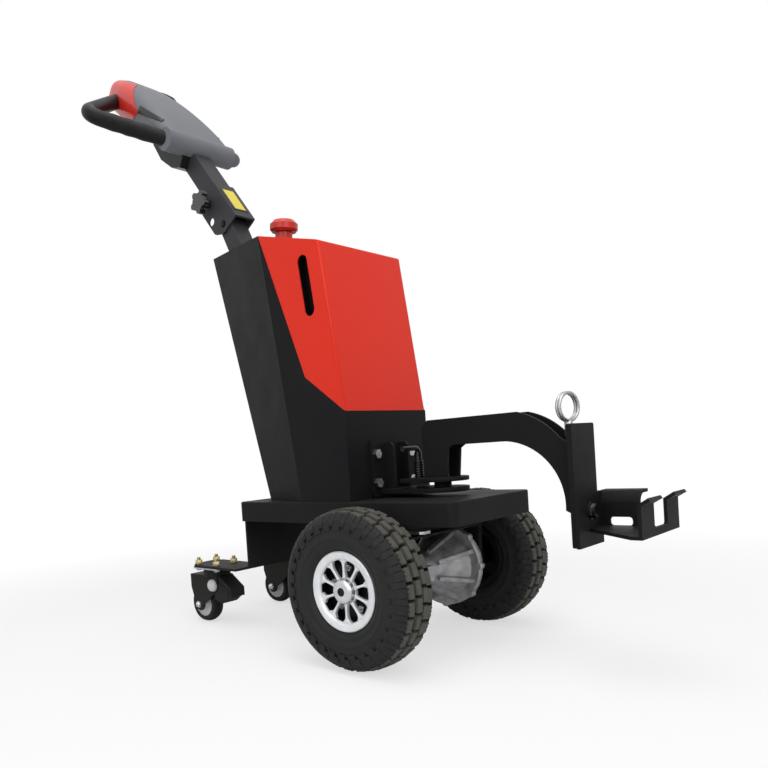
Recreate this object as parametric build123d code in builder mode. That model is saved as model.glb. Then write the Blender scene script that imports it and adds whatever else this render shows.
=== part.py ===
from build123d import *
import os
from math import cos, hypot, radians, sin

# Electric tow tractor, in millimetres. +X points to the tow hitch, +Y to the far side, +Z up, and
# the ground is Z = 0. X is measured from the drive axle while the pieces are drawn, and MID_X moves
# the origin under the middle of the machine when they are written.

# drive wheels: block-tread tyres on ten-spoke cast rims
TYRE_R = 130
TYRE_W = 85
TREAD_W = 66
CROWN = 6
TRACK = 380
BEAD_R = 56
BEAD_W = 60
FLANGE_R = 64
FLANGE_T = 4
RIM_WALL = 4
DISC_OUT = 20
DISC_T = 14
HUB_R = 23
HUB_OUT = 26
HUB_BACK = 20
SPOKES = 10
POCKET_FOOT = 28
POCKET_TIP = 47
POCKET_W = 23
SHAFT_R = 10
HUB_CAP_R = 20
HUB_CAP_T = 11
HUB_CAP_ROUND = 7

# platform tray, rear wall and caster tabs
PLAT_REAR = 357
PLAT_FRONT = 148
WHEEL_GAP = 23.5
PLAT_Z = 262
PLAT_T = 5
PLAT_CORNER = 14
SKIRT = 39
TAB_W = 80
TAB_BACK = 44
TAB_CUT = 18

# casters
CASTER_R = 40
CASTER_W = 26
CASTER_TRACK = 216
CASTER_GAP = 106
CASTER_H = 124
TRAIL = 39
CASTER_BOLTS_X = 60
CASTER_BOLTS_Y = 48
CASTER_HOLE_R = 4.5
CASTER_PLATE_T = 4
CASTER_PIN_R = 7
CASTER_AXLE_R = 4
RACE_R = 29
RACE_T = 17
FORK_T = 4
FORK_GAP = 5.5
FORK_FOOT = 14
HOOD_FRONT = 25
HOOD_BACK = 66
HOOD_H = 28
PEDAL_L = 40
PEDAL_H = 42

# column and cover, both bent from sheet
SHEET = 3
BODY_W = 240
FRONT_BACK = 60
COVER_Z = 420
FOLD_LOW = 179
FOLD_TOP = 250
FOLD_Z = 771
REAR_LOW = 318
REAR_LOW_Y = 69
REAR_TOP = 495
REAR_Z = 799
NOSE_BACK = 98
NOSE_Z = 725
CUT_BACK = 150
CUT_Z = 489
EDGE_R = 5
SLOT_L = 112
SLOT_W = 24
SLOT_BACK = 133
SLOT_Z = 652
ESTOP_BACK = 302
ESTOP_R = 29
ESTOP_STEM_R = 18
ESTOP_H = 60
ESTOP_HEAD_T = 26

# battery block in the column
BATTERY_L = 144
BATTERY_W = 190
BATTERY_H = 208
BATTERY_GAP = 16

# drive axle housing and motor
TUBE_R = 31
PAD_Y = -48
PAD_L = 44
PAD_H = 26
PAD_UP = 7
PARTING_R = 75
PARTING_T = 14
GEAR_L = 14
GEAR_R = 67
GEAR_GAP = 56
GEAR_CONE = 20
CONE_L = 62
CONE_R = 60
RIB_T = 7
RIBS = 8
HOUSE_GAP = 28
BEARING_L = 52
HANGER_T = 12
HANGER_L = 104
MOTOR_INSET = 22
MOTOR_R = 48
MOTOR_L = 190

# swing mount on the column front, king bolt and lock plunger
MOUNT_W = 124
MOUNT_H = 102
MOUNT_T = 6
MOUNT_GAP = 3
MOUNT_BOLTS_Y = 100
MOUNT_BOLTS_Z = 52
MOUNT_BOLT_R = 4.5
MOUNT_HEAD_R = 9
MOUNT_HEAD_T = 7
GUSSET_Y = 22
GUSSET_L = 20
KING_X = 50
KING_R = 8
KING_HEAD_R = 13
KING_HEAD_T = 10
LOWER_Z = 270
LOWER_T = 8
UPPER_Z = 288
UPPER_T = 7
SWING_R = 45
WASHER_R = 15
PLUNGER_X = 2
PLUNGER_R = 6
PLUNGER_H = 50
SPRING_R = 9
SPRING_WIRE = 1.6
SPRING_TURNS = 7
HANDLE_R = 4.5
HANDLE_L = 46

# tow arm, hitch plate and hook
ARM_Y = 22
ARM_T = 6
ARM_TOP = 394
ARM_LOW = 349
ARM_ROOT = 46
ARM_BEND = 205
ARM_KNEE = 48
ARM_TOE = 20
ARM_CROTCH = 42
STRIP_T = 6
STRIP_SINK = 8
HITCH_X = 291
HITCH_T = 8
HITCH_W = 80
HITCH_Z0 = 186
HITCH_Z1 = 369
HITCH_HOLE_R = 6.5
HITCH_HOLE_Z = 238
PIN_R = 6
PIN_BACK = 13
PIN_BLOCK_H = 28
RING_R = 21
RING_WIRE = 2.5
HOOK_T = 5
HOOK_L = 102
HOOK_W = 148
HOOK_Z = 207
HOOK_TOP = 265
HOOK_WALL_Y = 43
HOOK_WALL_L = 61
HOOK_BEND = 16
PRONG_W = 48
PRONG_TOP = 252
PRONG_FOOT = 11
LIP = 12

# tiller post, channel and tube
PIVOT_BACK = 457
PIVOT_Z = 868
PIVOT_R = 8
POST_W = 46
POST_D = 40
POST_L = 260
POST_LEAN = 25
TILLER_TILT = 54
CHANNEL_GAP = 1
CHANNEL_T = 4
CHANNEL_L = 92
CHANNEL_FRONT = 40
CHANNEL_BACK = 34
CHANNEL_HOLE = 35
TUBE_FOOT = 44
TUBE_D = 44
TUBE_L = 185
TUBE_WALL = 3
KNOB_UP = 72
KNOB_R = 19
KNOB_STEM = 16
KNOB_T = 15

# tiller head: local u runs up the head and n stands square to its top face
HEAD_BACK = 562
HEAD_Z = 1075
HEAD_TILT = 39
SLEEVE_R = 25
SLEEVE_Y = 93
BASE_W = 92
BASE_L = 120
BASE_DEPTH = 58
LOOP_R = 17
LOOP_Y = 223
LOOP_U = 135
LOOP_DROOP = 24
LOOP_BEND = 44
LOOP_END_U = 318
LOOP_END_Y = 40
BELLY_FOOT = 326
BELLY_U = 375
BELLY_N0 = -34
BELLY_N1 = 40
BELLY_W = 84
BELLY_R = 16
NOSE_LOW = 235
NOSE_TOP = 345
PADDLE_U = 112
PADDLE_N = 31
PADDLE_L = 100
PADDLE_H = 16
PADDLE_TURN = 7
SWITCH_U = 200
SWITCH_Y = 58
SWITCH_L = 50
SWITCH_W = 16

# cross sections of the head shell: way up the head, half width, underside, top
HEAD_SECTIONS = (
    (0, 88, -24, 25),
    (80, 88, -28, 42),
    (180, 80, -33, 54),
    (270, 71, -36, 55),
    (335, 58, -36, 47),
)

# running fits
FIT = 0.05
SEAT = 0.02
RUN_GAP = 0.4

REAR_X = (-HEAD_BACK - (BELLY_U - BELLY_R) * cos(radians(HEAD_TILT))
          + (BELLY_N0 + BELLY_R) * sin(radians(HEAD_TILT)) - BELLY_R)
TIP_X = HITCH_X + HITCH_T + HOOK_L + LIP
MID_X = (TIP_X + REAR_X) / 2
FLOOR_X = -FRONT_BACK
PLAT_W = TRACK - TYRE_W - 2 * WHEEL_GAP
CASTER_BACK = PLAT_REAR + CASTER_GAP
HOUSE_END = TRACK / 2 - HUB_BACK - HOUSE_GAP
GEAR_END = HOUSE_END - GEAR_GAP
PARTING_Y = GEAR_END - GEAR_L - PARTING_T

nodes = {}


def keep(name, built):
    """Labels a finished piece and stores it under its node name."""
    built.part.label = name
    nodes[name] = built.part


def side_plane(y):
    """Drawing plane with local x along X and local y along Z, extruding towards -Y."""
    return Plane((0, y, 0), x_dir=(1, 0, 0), z_dir=(0, -1, 0))


def slanted_plane(back, height, tilt, y):
    """Plane across the machine at height: local x runs up and back at tilt, local y to the front."""
    t = radians(tilt)
    return Plane((-back, y, height), x_dir=(-cos(t), 0, sin(t)), z_dir=(0, 1, 0))


def radial_plane(angle):
    """Plane through the drive axle: local x along the axle, local y outward at angle."""
    a = radians(angle)
    return Plane((0, 0, TYRE_R), x_dir=(0, 1, 0), z_dir=(sin(a), 0, -cos(a)))


# platform tray with its rear wall and the two caster tabs
with BuildPart() as platform:
    tray_l = PLAT_REAR + PLAT_FRONT
    tray_x = (PLAT_FRONT - PLAT_REAR) / 2
    with BuildSketch(Plane.XY.offset(PLAT_Z - SKIRT)):
        with Locations((tray_x, 0)):
            RectangleRounded(tray_l, PLAT_W, PLAT_CORNER)
    extrude(amount=SKIRT)
    fillet(platform.faces().sort_by(Axis.Z)[-1].edges(), PLAT_T / 2)
    with BuildSketch(Plane.XY.offset(PLAT_Z - SKIRT)):
        with Locations((tray_x, 0)):
            RectangleRounded(tray_l - 2 * PLAT_T, PLAT_W - 2 * PLAT_T, PLAT_CORNER - PLAT_T)
    extrude(amount=SKIRT - PLAT_T, mode=Mode.SUBTRACT)
    wall_h = PLAT_Z - SKIRT - CASTER_H
    with Locations((-PLAT_REAR + PLAT_T / 2, 0, CASTER_H + wall_h / 2)):
        Box(PLAT_T, PLAT_W - 2 * PLAT_CORNER, wall_h)
    tab_end = CASTER_BACK + TAB_BACK
    for side in (-1, 1):
        with BuildSketch(Plane.XY.offset(CASTER_H)) as tab:
            with Locations((-(tab_end + PLAT_REAR - PLAT_T) / 2, side * CASTER_TRACK / 2)):
                Rectangle(tab_end - PLAT_REAR + PLAT_T, TAB_W)
            chamfer(tab.vertices().group_by(Axis.X)[0], TAB_CUT)
        extrude(amount=PLAT_T)
        with Locations((-CASTER_BACK, side * CASTER_TRACK / 2, CASTER_H)):
            with GridLocations(CASTER_BOLTS_X, CASTER_BOLTS_Y, 2, 2):
                Cylinder(CASTER_HOLE_R, 4 * PLAT_T, mode=Mode.SUBTRACT)
keep("platform", platform)

# tiller post: square tube, rounded about the pivot
LEAN = radians(POST_LEAN)
post_frame = Plane((-PIVOT_BACK, 0, PIVOT_Z), x_dir=(sin(LEAN), 0, -cos(LEAN)), z_dir=(0, -1, 0))
with BuildPart() as post_block:
    with BuildSketch(post_frame):
        Circle(POST_D / 2)
        with Locations((POST_L / 2, 0)):
            Rectangle(POST_L, POST_D)
    extrude(amount=POST_W / 2, both=True)
with BuildPart() as tiller_post:
    add(post_block.part)
    with BuildSketch(post_frame):
        with Locations((POST_L / 2 + POST_D / 2, 0)):
            Rectangle(POST_L, POST_D - 2 * SHEET)
    extrude(amount=POST_W / 2 - SHEET, both=True, mode=Mode.SUBTRACT)
    with BuildSketch(post_frame):
        Circle(PIVOT_R + SEAT)
    extrude(amount=POST_W, both=True, mode=Mode.SUBTRACT)
keep("tiller_post", tiller_post)

# hollow column of bent sheet, open at the bottom and where the cover sits
with BuildPart() as column:
    with BuildSketch(side_plane(BODY_W / 2)):
        with BuildLine():
            Polyline((-FRONT_BACK, PLAT_Z), (-FRONT_BACK, COVER_Z), (-CUT_BACK, CUT_Z), (-FOLD_TOP, FOLD_Z),
                     (-REAR_TOP, REAR_Z), (-REAR_LOW, PLAT_Z), close=True)
        make_face()
    extrude(amount=BODY_W)
    for side in (-1, 1):
        fold = Vector(-FOLD_LOW, side * BODY_W / 2, PLAT_Z)
        along = Vector(FOLD_LOW - FOLD_TOP, 0, FOLD_Z - PLAT_Z)
        back = Vector(FOLD_LOW - REAR_LOW, -side * (BODY_W / 2 - REAR_LOW_Y), 0)
        split(bisect_by=Plane(fold, x_dir=along, z_dir=along.cross(back) * -side), keep=Keep.BOTTOM)
    floor = column.faces().filter_by(lambda f: f.normal_at().Z < -0.9)
    seat = column.faces().filter_by(lambda f: f.normal_at().X > 0.3 and f.center().Z > COVER_Z)
    offset(amount=-SHEET, openings=list(floor) + list(seat), kind=Kind.INTERSECTION)
    add(post_block.part, mode=Mode.SUBTRACT)
keep("column", column)

# red cover, hollow, open towards the column, with a slot in each side
with BuildPart() as cover:
    with BuildSketch(side_plane(BODY_W / 2)):
        with BuildLine():
            Polyline((-FRONT_BACK, COVER_Z), (-NOSE_BACK, NOSE_Z), (-FOLD_TOP, FOLD_Z), (-CUT_BACK, CUT_Z),
                     close=True)
        make_face()
    extrude(amount=BODY_W)
    seat = cover.faces().filter_by(lambda f: f.normal_at().X < -0.2 and abs(f.normal_at().Y) < 0.1)
    offset(amount=-SHEET, openings=list(seat), kind=Kind.INTERSECTION)
    front = cover.faces().filter_by(lambda f: f.normal_at().X > 0.9).sort_by(Axis.X)[-1]
    fillet([e for e in front.edges() if e.bounding_box().max.Z > NOSE_Z - 1], EDGE_R)
    slope = Vector(NOSE_BACK - FRONT_BACK, 0, COVER_Z - NOSE_Z)
    with BuildSketch(Plane((-SLOT_BACK, 0, SLOT_Z), x_dir=slope, z_dir=(0, -1, 0))):
        SlotOverall(SLOT_L, SLOT_W)
    extrude(amount=BODY_W, both=True, mode=Mode.SUBTRACT)
keep("cover", cover)

with BuildPart() as battery:
    with Locations((-FRONT_BACK - BATTERY_GAP - BATTERY_L / 2, 0, PLAT_Z + BATTERY_H / 2)):
        Box(BATTERY_L, BATTERY_W, BATTERY_H)
    fillet(battery.edges().filter_by(Axis.Z), EDGE_R)
keep("battery", battery)

# emergency stop on the sloping top of the column
ESTOP_Z = FOLD_Z + (ESTOP_BACK - FOLD_TOP) * (REAR_Z - FOLD_Z) / (REAR_TOP - FOLD_TOP)
top_slope = Vector(REAR_TOP - FOLD_TOP, 0, FOLD_Z - REAR_Z)
top_normal = (REAR_Z - FOLD_Z, 0, REAR_TOP - FOLD_TOP)
estop_frame = Plane((-ESTOP_BACK, 0, ESTOP_Z), x_dir=top_slope, z_dir=top_normal)
with BuildPart() as estop:
    with BuildSketch(Plane(estop_frame.origin, x_dir=(0, 1, 0), z_dir=estop_frame.x_dir)) as profile:
        with BuildLine():
            head_low = ESTOP_H - ESTOP_HEAD_T
            Polyline((0, ESTOP_H), (0, 0), (ESTOP_STEM_R, 0), (ESTOP_STEM_R, head_low),
                     (ESTOP_R - 4, head_low), (ESTOP_R, head_low + 5), (ESTOP_R, ESTOP_H - 10),
                     (ESTOP_R - 8, ESTOP_H - 2), (0, ESTOP_H))
        make_face()
    revolve(axis=Axis(estop_frame.origin, estop_frame.z_dir))
keep("estop", estop)

# tiller pivot bolt
flange_y = POST_W / 2 + CHANNEL_GAP + CHANNEL_T
with BuildPart() as pivot_bolt:
    with BuildSketch(side_plane(0)):
        with Locations((-PIVOT_BACK, PIVOT_Z)):
            Circle(PIVOT_R)
    extrude(amount=flange_y + RUN_GAP, both=True)
    for side in (-1, 1):
        with BuildSketch(side_plane(side * (flange_y + RUN_GAP))):
            with Locations((-PIVOT_BACK, PIVOT_Z)):
                RegularPolygon(PIVOT_R * 1.6, 6)
        extrude(amount=-side * PIVOT_R)
keep("pivot_bolt", pivot_bolt)

# swing mount: bolted plate, two gussets and the fixed lower plate with its thrust washer
MOUNT_X = FLOOR_X + MOUNT_T
MOUNT_Z = PLAT_Z + MOUNT_GAP + MOUNT_H / 2
mount_face = Plane((MOUNT_X, 0, MOUNT_Z), x_dir=(0, 1, 0), z_dir=(1, 0, 0))
with BuildPart() as swing_mount:
    with BuildSketch(mount_face):
        RectangleRounded(MOUNT_W, MOUNT_H, MOUNT_T)
    extrude(amount=-MOUNT_T)
    with BuildSketch(Plane.XY.offset(LOWER_Z)):
        with Locations(((MOUNT_X + KING_X) / 2, 0)):
            Rectangle(KING_X - MOUNT_X, 2 * SWING_R)
        with Locations((KING_X, 0)):
            Circle(SWING_R)
    extrude(amount=LOWER_T)
    for side in (-1, 1):
        with BuildSketch(side_plane(side * GUSSET_Y + MOUNT_T / 2)):
            with BuildLine():
                gusset_top = MOUNT_Z + MOUNT_H / 2 - MOUNT_T
                gusset_x = MOUNT_X + GUSSET_L
                Polyline((MOUNT_X, LOWER_Z + LOWER_T), (MOUNT_X, gusset_top),
                         (gusset_x - MOUNT_T, gusset_top), (gusset_x, gusset_top - MOUNT_T),
                         (gusset_x, LOWER_Z + LOWER_T), close=True)
            make_face()
        extrude(amount=MOUNT_T)
    with Locations((KING_X, 0, LOWER_Z + LOWER_T)):
        washer_t = UPPER_Z - LOWER_Z - LOWER_T - RUN_GAP
        Cylinder(WASHER_R, washer_t, align=(Align.CENTER, Align.CENTER, Align.MIN))
    with Locations((KING_X, 0, LOWER_Z)):
        Cylinder(KING_R + SEAT, 2 * (UPPER_Z - LOWER_Z), mode=Mode.SUBTRACT)
    with Locations((PLUNGER_X, 0, LOWER_Z)):
        Cylinder(PLUNGER_R + 1, 4 * LOWER_T, mode=Mode.SUBTRACT)
    with Locations(mount_face):
        with GridLocations(MOUNT_BOLTS_Y, MOUNT_BOLTS_Z, 2, 2):
            Cylinder(MOUNT_BOLT_R, 4 * MOUNT_T, mode=Mode.SUBTRACT)
keep("swing_mount", swing_mount)

with BuildPart() as mount_bolts:
    with BuildSketch(mount_face):
        with GridLocations(MOUNT_BOLTS_Y, MOUNT_BOLTS_Z, 2, 2):
            RegularPolygon(MOUNT_HEAD_R, 6)
    extrude(amount=MOUNT_HEAD_T)
    with BuildSketch(mount_face):
        with GridLocations(MOUNT_BOLTS_Y, MOUNT_BOLTS_Z, 2, 2):
            Circle(MOUNT_BOLT_R)
    extrude(amount=-MOUNT_T)
keep("mount_bolts", mount_bolts)

with BuildPart() as king_bolt:
    with Locations((KING_X, 0, LOWER_Z)):
        Cylinder(KING_R, UPPER_Z + UPPER_T + RUN_GAP - LOWER_Z, align=(Align.CENTER, Align.CENTER, Align.MIN))
    with BuildSketch(Plane.XY.offset(UPPER_Z + UPPER_T + RUN_GAP)):
        with Locations((KING_X, 0)):
            RegularPolygon(KING_HEAD_R, 6)
    extrude(amount=KING_HEAD_T)
keep("king_bolt", king_bolt)

# cast axle housing: turned body about the axle, ribs on the cone, bolt bosses on the parting flange
CONE_Y = PARTING_Y - CONE_L
with BuildPart() as transaxle:
    with BuildSketch(radial_plane(0)):
        with BuildLine():
            Polyline((-HOUSE_END, 0), (-HOUSE_END, TUBE_R + RIB_T), (RIB_T - HOUSE_END, TUBE_R + RIB_T),
                     (RIB_T - HOUSE_END, TUBE_R), (CONE_Y, TUBE_R), (PARTING_Y, CONE_R),
                     (PARTING_Y, PARTING_R), (PARTING_Y + PARTING_T, PARTING_R),
                     (PARTING_Y + PARTING_T, GEAR_R), (GEAR_END, GEAR_R), (GEAR_END + GEAR_CONE, TUBE_R),
                     (HOUSE_END, TUBE_R), (HOUSE_END, 0), close=True)
        make_face()
    revolve(axis=Axis((0, 0, TYRE_R), (0, 1, 0)))
    for i in range(RIBS):
        with BuildSketch(radial_plane(360 * (i + 0.5) / RIBS)):
            with BuildLine():
                Polyline((CONE_Y, TUBE_R - 4), (CONE_Y, TUBE_R + RIB_T), (PARTING_Y, PARTING_R - 4),
                         (PARTING_Y, TUBE_R - 4), close=True)
            make_face()
        extrude(amount=RIB_T / 2, both=True)
        with BuildSketch(Plane((0, PARTING_Y, TYRE_R), x_dir=(1, 0, 0), z_dir=(0, 1, 0))):
            with PolarLocations(PARTING_R - 3, 1, 360 * i / RIBS):
                Circle(RIB_T)
        extrude(amount=PARTING_T)
    with Locations((0, PAD_Y, TYRE_R)):
        Box(2 * (TUBE_R + PAD_UP), PAD_L, PAD_H)
    for side in (-1, 1):
        with BuildSketch(side_plane(side * (HOUSE_END - BEARING_L - 5))):
            with Locations((0, TYRE_R)):
                Circle(SHAFT_R + FIT)
        extrude(amount=-side * 2 * BEARING_L, mode=Mode.SUBTRACT)
keep("transaxle", transaxle)

with BuildPart() as motor:
    with BuildSketch(Plane((-GEAR_R / 2, PARTING_Y - MOTOR_INSET, TYRE_R), z_dir=(-1, 0, 0))):
        Circle(MOTOR_R)
    extrude(amount=GEAR_R / 2 + MOTOR_L)
    add(transaxle.part, mode=Mode.SUBTRACT)
keep("motor", motor)

# saddles that hang the axle housing from the platform
with BuildPart() as axle_hanger:
    for side in (-1, 1):
        with BuildSketch(side_plane(side * (PLAT_W / 2 - PLAT_T - HANGER_T / 2) + HANGER_T / 2)):
            with BuildLine():
                Polyline((-HANGER_L / 2, PLAT_Z - PLAT_T), (HANGER_L / 2, PLAT_Z - PLAT_T),
                         (HANGER_L / 2 - PLAT_T, TYRE_R), (PLAT_T - HANGER_L / 2, TYRE_R), close=True)
            make_face()
            with Locations((0, TYRE_R)):
                Circle(TUBE_R + SEAT, mode=Mode.SUBTRACT)
        extrude(amount=HANGER_T)
keep("axle_hanger", axle_hanger)

# drive wheels
half_bead = BEAD_W / 2
for label, side in (("near", -1), ("far", 1)):
    centre = (0, side * TRACK / 2, TYRE_R)
    spin = Axis(centre, (0, 1, 0))
    section = Plane(centre, x_dir=(0, side, 0), z_dir=(side, 0, 0))
    face = Plane(centre, x_dir=(1, 0, 0), z_dir=(0, side, 0))
    shoulder = TYRE_R - CROWN
    flank = (FLANGE_R + shoulder) / 2
    with BuildPart() as tyre:
        with BuildSketch(section):
            with BuildLine():
                Line((-half_bead, BEAD_R), (half_bead, BEAD_R))
                Line((half_bead, BEAD_R), (half_bead, FLANGE_R))
                ThreePointArc((half_bead, FLANGE_R), (TYRE_W / 2, flank), (TREAD_W / 2, shoulder))
                ThreePointArc((TREAD_W / 2, shoulder), (0, TYRE_R), (-TREAD_W / 2, shoulder))
                ThreePointArc((-TREAD_W / 2, shoulder), (-TYRE_W / 2, flank), (-half_bead, FLANGE_R))
                Line((-half_bead, FLANGE_R), (-half_bead, BEAD_R))
            make_face()
        revolve(axis=spin)
    keep("tyre_" + label, tyre)
    barrel = BEAD_R - RIM_WALL
    lip = half_bead + FLANGE_T
    with BuildPart() as rim:
        with BuildSketch(section):
            with BuildLine():
                Polyline((-lip, barrel), (-lip, FLANGE_R), (-half_bead, FLANGE_R), (-half_bead, BEAD_R),
                         (half_bead, BEAD_R), (half_bead, FLANGE_R), (lip, FLANGE_R), (lip, barrel),
                         (DISC_OUT, barrel - RIM_WALL), (DISC_OUT - RIM_WALL, HUB_R),
                         (HUB_OUT, HUB_R - RIM_WALL), (HUB_OUT, SHAFT_R + SEAT), (-HUB_BACK, SHAFT_R + SEAT),
                         (-HUB_BACK, HUB_R), (DISC_OUT - RIM_WALL - DISC_T, HUB_R),
                         (DISC_OUT - DISC_T, barrel), close=True)
            make_face()
        revolve(axis=spin)
        with BuildSketch(face) as pockets:
            reach = (POCKET_TIP - POCKET_FOOT) / 2
            with PolarLocations((POCKET_FOOT + POCKET_TIP) / 2, SPOKES):
                Polygon((-reach, -POCKET_W / 4), (reach, -POCKET_W / 2), (reach, POCKET_W / 2),
                        (-reach, POCKET_W / 4))
            fillet(pockets.vertices(), POCKET_W / 5)
        extrude(amount=lip, mode=Mode.SUBTRACT)
    keep("rim_" + label, rim)
    shaft_in = HOUSE_END - BEARING_L
    with BuildPart() as shaft:
        with BuildSketch(Plane((0, side * shaft_in, TYRE_R), x_dir=(1, 0, 0), z_dir=(0, side, 0))):
            Circle(SHAFT_R)
        extrude(amount=TRACK / 2 + HUB_OUT - shaft_in)
        with BuildSketch(face.offset(HUB_OUT)):
            Circle(HUB_CAP_R)
        extrude(amount=HUB_CAP_T)
        outer_end = shaft.faces().sort_by(Axis.Y)[-1 if side > 0 else 0]
        fillet(outer_end.edges(), HUB_CAP_ROUND)
    keep("axle_shaft_" + label, shaft)

# casters: bolted plate, swivelling hooded fork with its brake pedal, wheel on a through bolt
fork_in = CASTER_W / 2 + FORK_GAP
fork_out = fork_in + FORK_T
race_top = CASTER_H - CASTER_PLATE_T - RUN_GAP
race_low = race_top - RACE_T
axle_x = -CASTER_BACK - TRAIL
hood_top = race_low + FORK_T / 2
hood_low = hood_top - HOOD_H
hood_front = HOOD_FRONT - CASTER_BACK
hood_rear = -HOOD_BACK - CASTER_BACK
for label, side in (("near", -1), ("far", 1)):
    y = side * CASTER_TRACK / 2
    with BuildPart() as caster_plate:
        with BuildSketch(Plane.XY.offset(CASTER_H - CASTER_PLATE_T)):
            with Locations((-CASTER_BACK, y)):
                RectangleRounded(CASTER_BOLTS_X + 22, CASTER_BOLTS_Y + 22, 2 * CASTER_PLATE_T)
                Circle(CASTER_PIN_R + FIT, mode=Mode.SUBTRACT)
                with GridLocations(CASTER_BOLTS_X, CASTER_BOLTS_Y, 2, 2):
                    Circle(CASTER_HOLE_R, mode=Mode.SUBTRACT)
        extrude(amount=CASTER_PLATE_T)
    keep("caster_plate_" + label, caster_plate)
    with BuildPart() as fork:
        with Locations((-CASTER_BACK, y, race_low)):
            Cylinder(RACE_R, RACE_T, align=(Align.CENTER, Align.CENTER, Align.MIN))
            Cylinder(CASTER_PIN_R, RACE_T + CASTER_PLATE_T, align=(Align.CENTER, Align.CENTER, Align.MIN))
        for leg in (-1, 1):
            with BuildSketch(side_plane(y + leg * (fork_in + FORK_T / 2) + FORK_T / 2)):
                with BuildLine():
                    Polyline((axle_x + FORK_FOOT, CASTER_R), (hood_front, hood_low), (hood_front, hood_top),
                             (hood_rear, hood_top), (hood_rear, hood_low), (axle_x - FORK_FOOT, CASTER_R))
                    ThreePointArc((axle_x - FORK_FOOT, CASTER_R), (axle_x, CASTER_R - FORK_FOOT),
                                  (axle_x + FORK_FOOT, CASTER_R))
                make_face()
            extrude(amount=FORK_T)
        with Locations(((hood_front + hood_rear) / 2, y, hood_top - FORK_T / 2)):
            Box(hood_front - hood_rear, 2 * fork_out, FORK_T)
        with BuildSketch(side_plane(y + fork_in)):
            with BuildLine():
                Polyline((hood_front - 14, hood_top), (hood_front + 4, hood_top),
                         (hood_front + PEDAL_L, hood_top - 24), (hood_front + PEDAL_L, hood_top - PEDAL_H),
                         (hood_front + PEDAL_L - 6, hood_top - PEDAL_H),
                         (hood_front + PEDAL_L - 10, hood_top - 26), (hood_front - 14, hood_top - 8),
                         close=True)
            make_face()
        extrude(amount=2 * fork_in)
        with BuildSketch(side_plane(y)):
            with Locations((axle_x, CASTER_R)):
                Circle(CASTER_AXLE_R + SEAT)
        extrude(amount=2 * fork_out, both=True, mode=Mode.SUBTRACT)
    keep("caster_fork_" + label, fork)
    with BuildPart() as caster_bolt:
        with BuildSketch(side_plane(y)):
            with Locations((axle_x, CASTER_R)):
                Circle(CASTER_AXLE_R)
        extrude(amount=fork_out, both=True)
        for end in (-1, 1):
            with BuildSketch(side_plane(y + end * fork_out)):
                with Locations((axle_x, CASTER_R)):
                    RegularPolygon(2 * CASTER_AXLE_R, 6)
            extrude(amount=-end * CASTER_AXLE_R)
    keep("caster_bolt_" + label, caster_bolt)
    axle = (axle_x, y, CASTER_R)
    core_r = CASTER_R * 0.7
    hub_y = CASTER_W / 2 + 2
    web_y = CASTER_W / 3
    caster_section = Plane(axle, x_dir=(0, 1, 0), z_dir=(1, 0, 0))
    with BuildPart() as core:
        with BuildSketch(caster_section):
            with BuildLine():
                bore = CASTER_AXLE_R + 2 * FIT
                Polyline((-hub_y, bore), (-hub_y, 2.5 * CASTER_AXLE_R), (-web_y, 3 * CASTER_AXLE_R),
                         (-web_y, core_r - 3), (-web_y - 3, core_r), (web_y + 3, core_r), (web_y, core_r - 3),
                         (web_y, 3 * CASTER_AXLE_R), (hub_y, 2.5 * CASTER_AXLE_R), (hub_y, bore), close=True)
            make_face()
        revolve(axis=Axis(axle, (0, 1, 0)))
    keep("caster_core_" + label, core)
    with BuildPart() as tread:
        with BuildSketch(caster_section):
            with BuildLine():
                Line((-CASTER_W / 2, core_r), (-CASTER_W / 2, CASTER_R - 4))
                ThreePointArc((-CASTER_W / 2, CASTER_R - 4), (0, CASTER_R), (CASTER_W / 2, CASTER_R - 4))
                Line((CASTER_W / 2, CASTER_R - 4), (CASTER_W / 2, core_r))
                Line((CASTER_W / 2, core_r), (-CASTER_W / 2, core_r))
            make_face()
        revolve(axis=Axis(axle, (0, 1, 0)))
    keep("caster_tread_" + label, tread)

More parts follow.
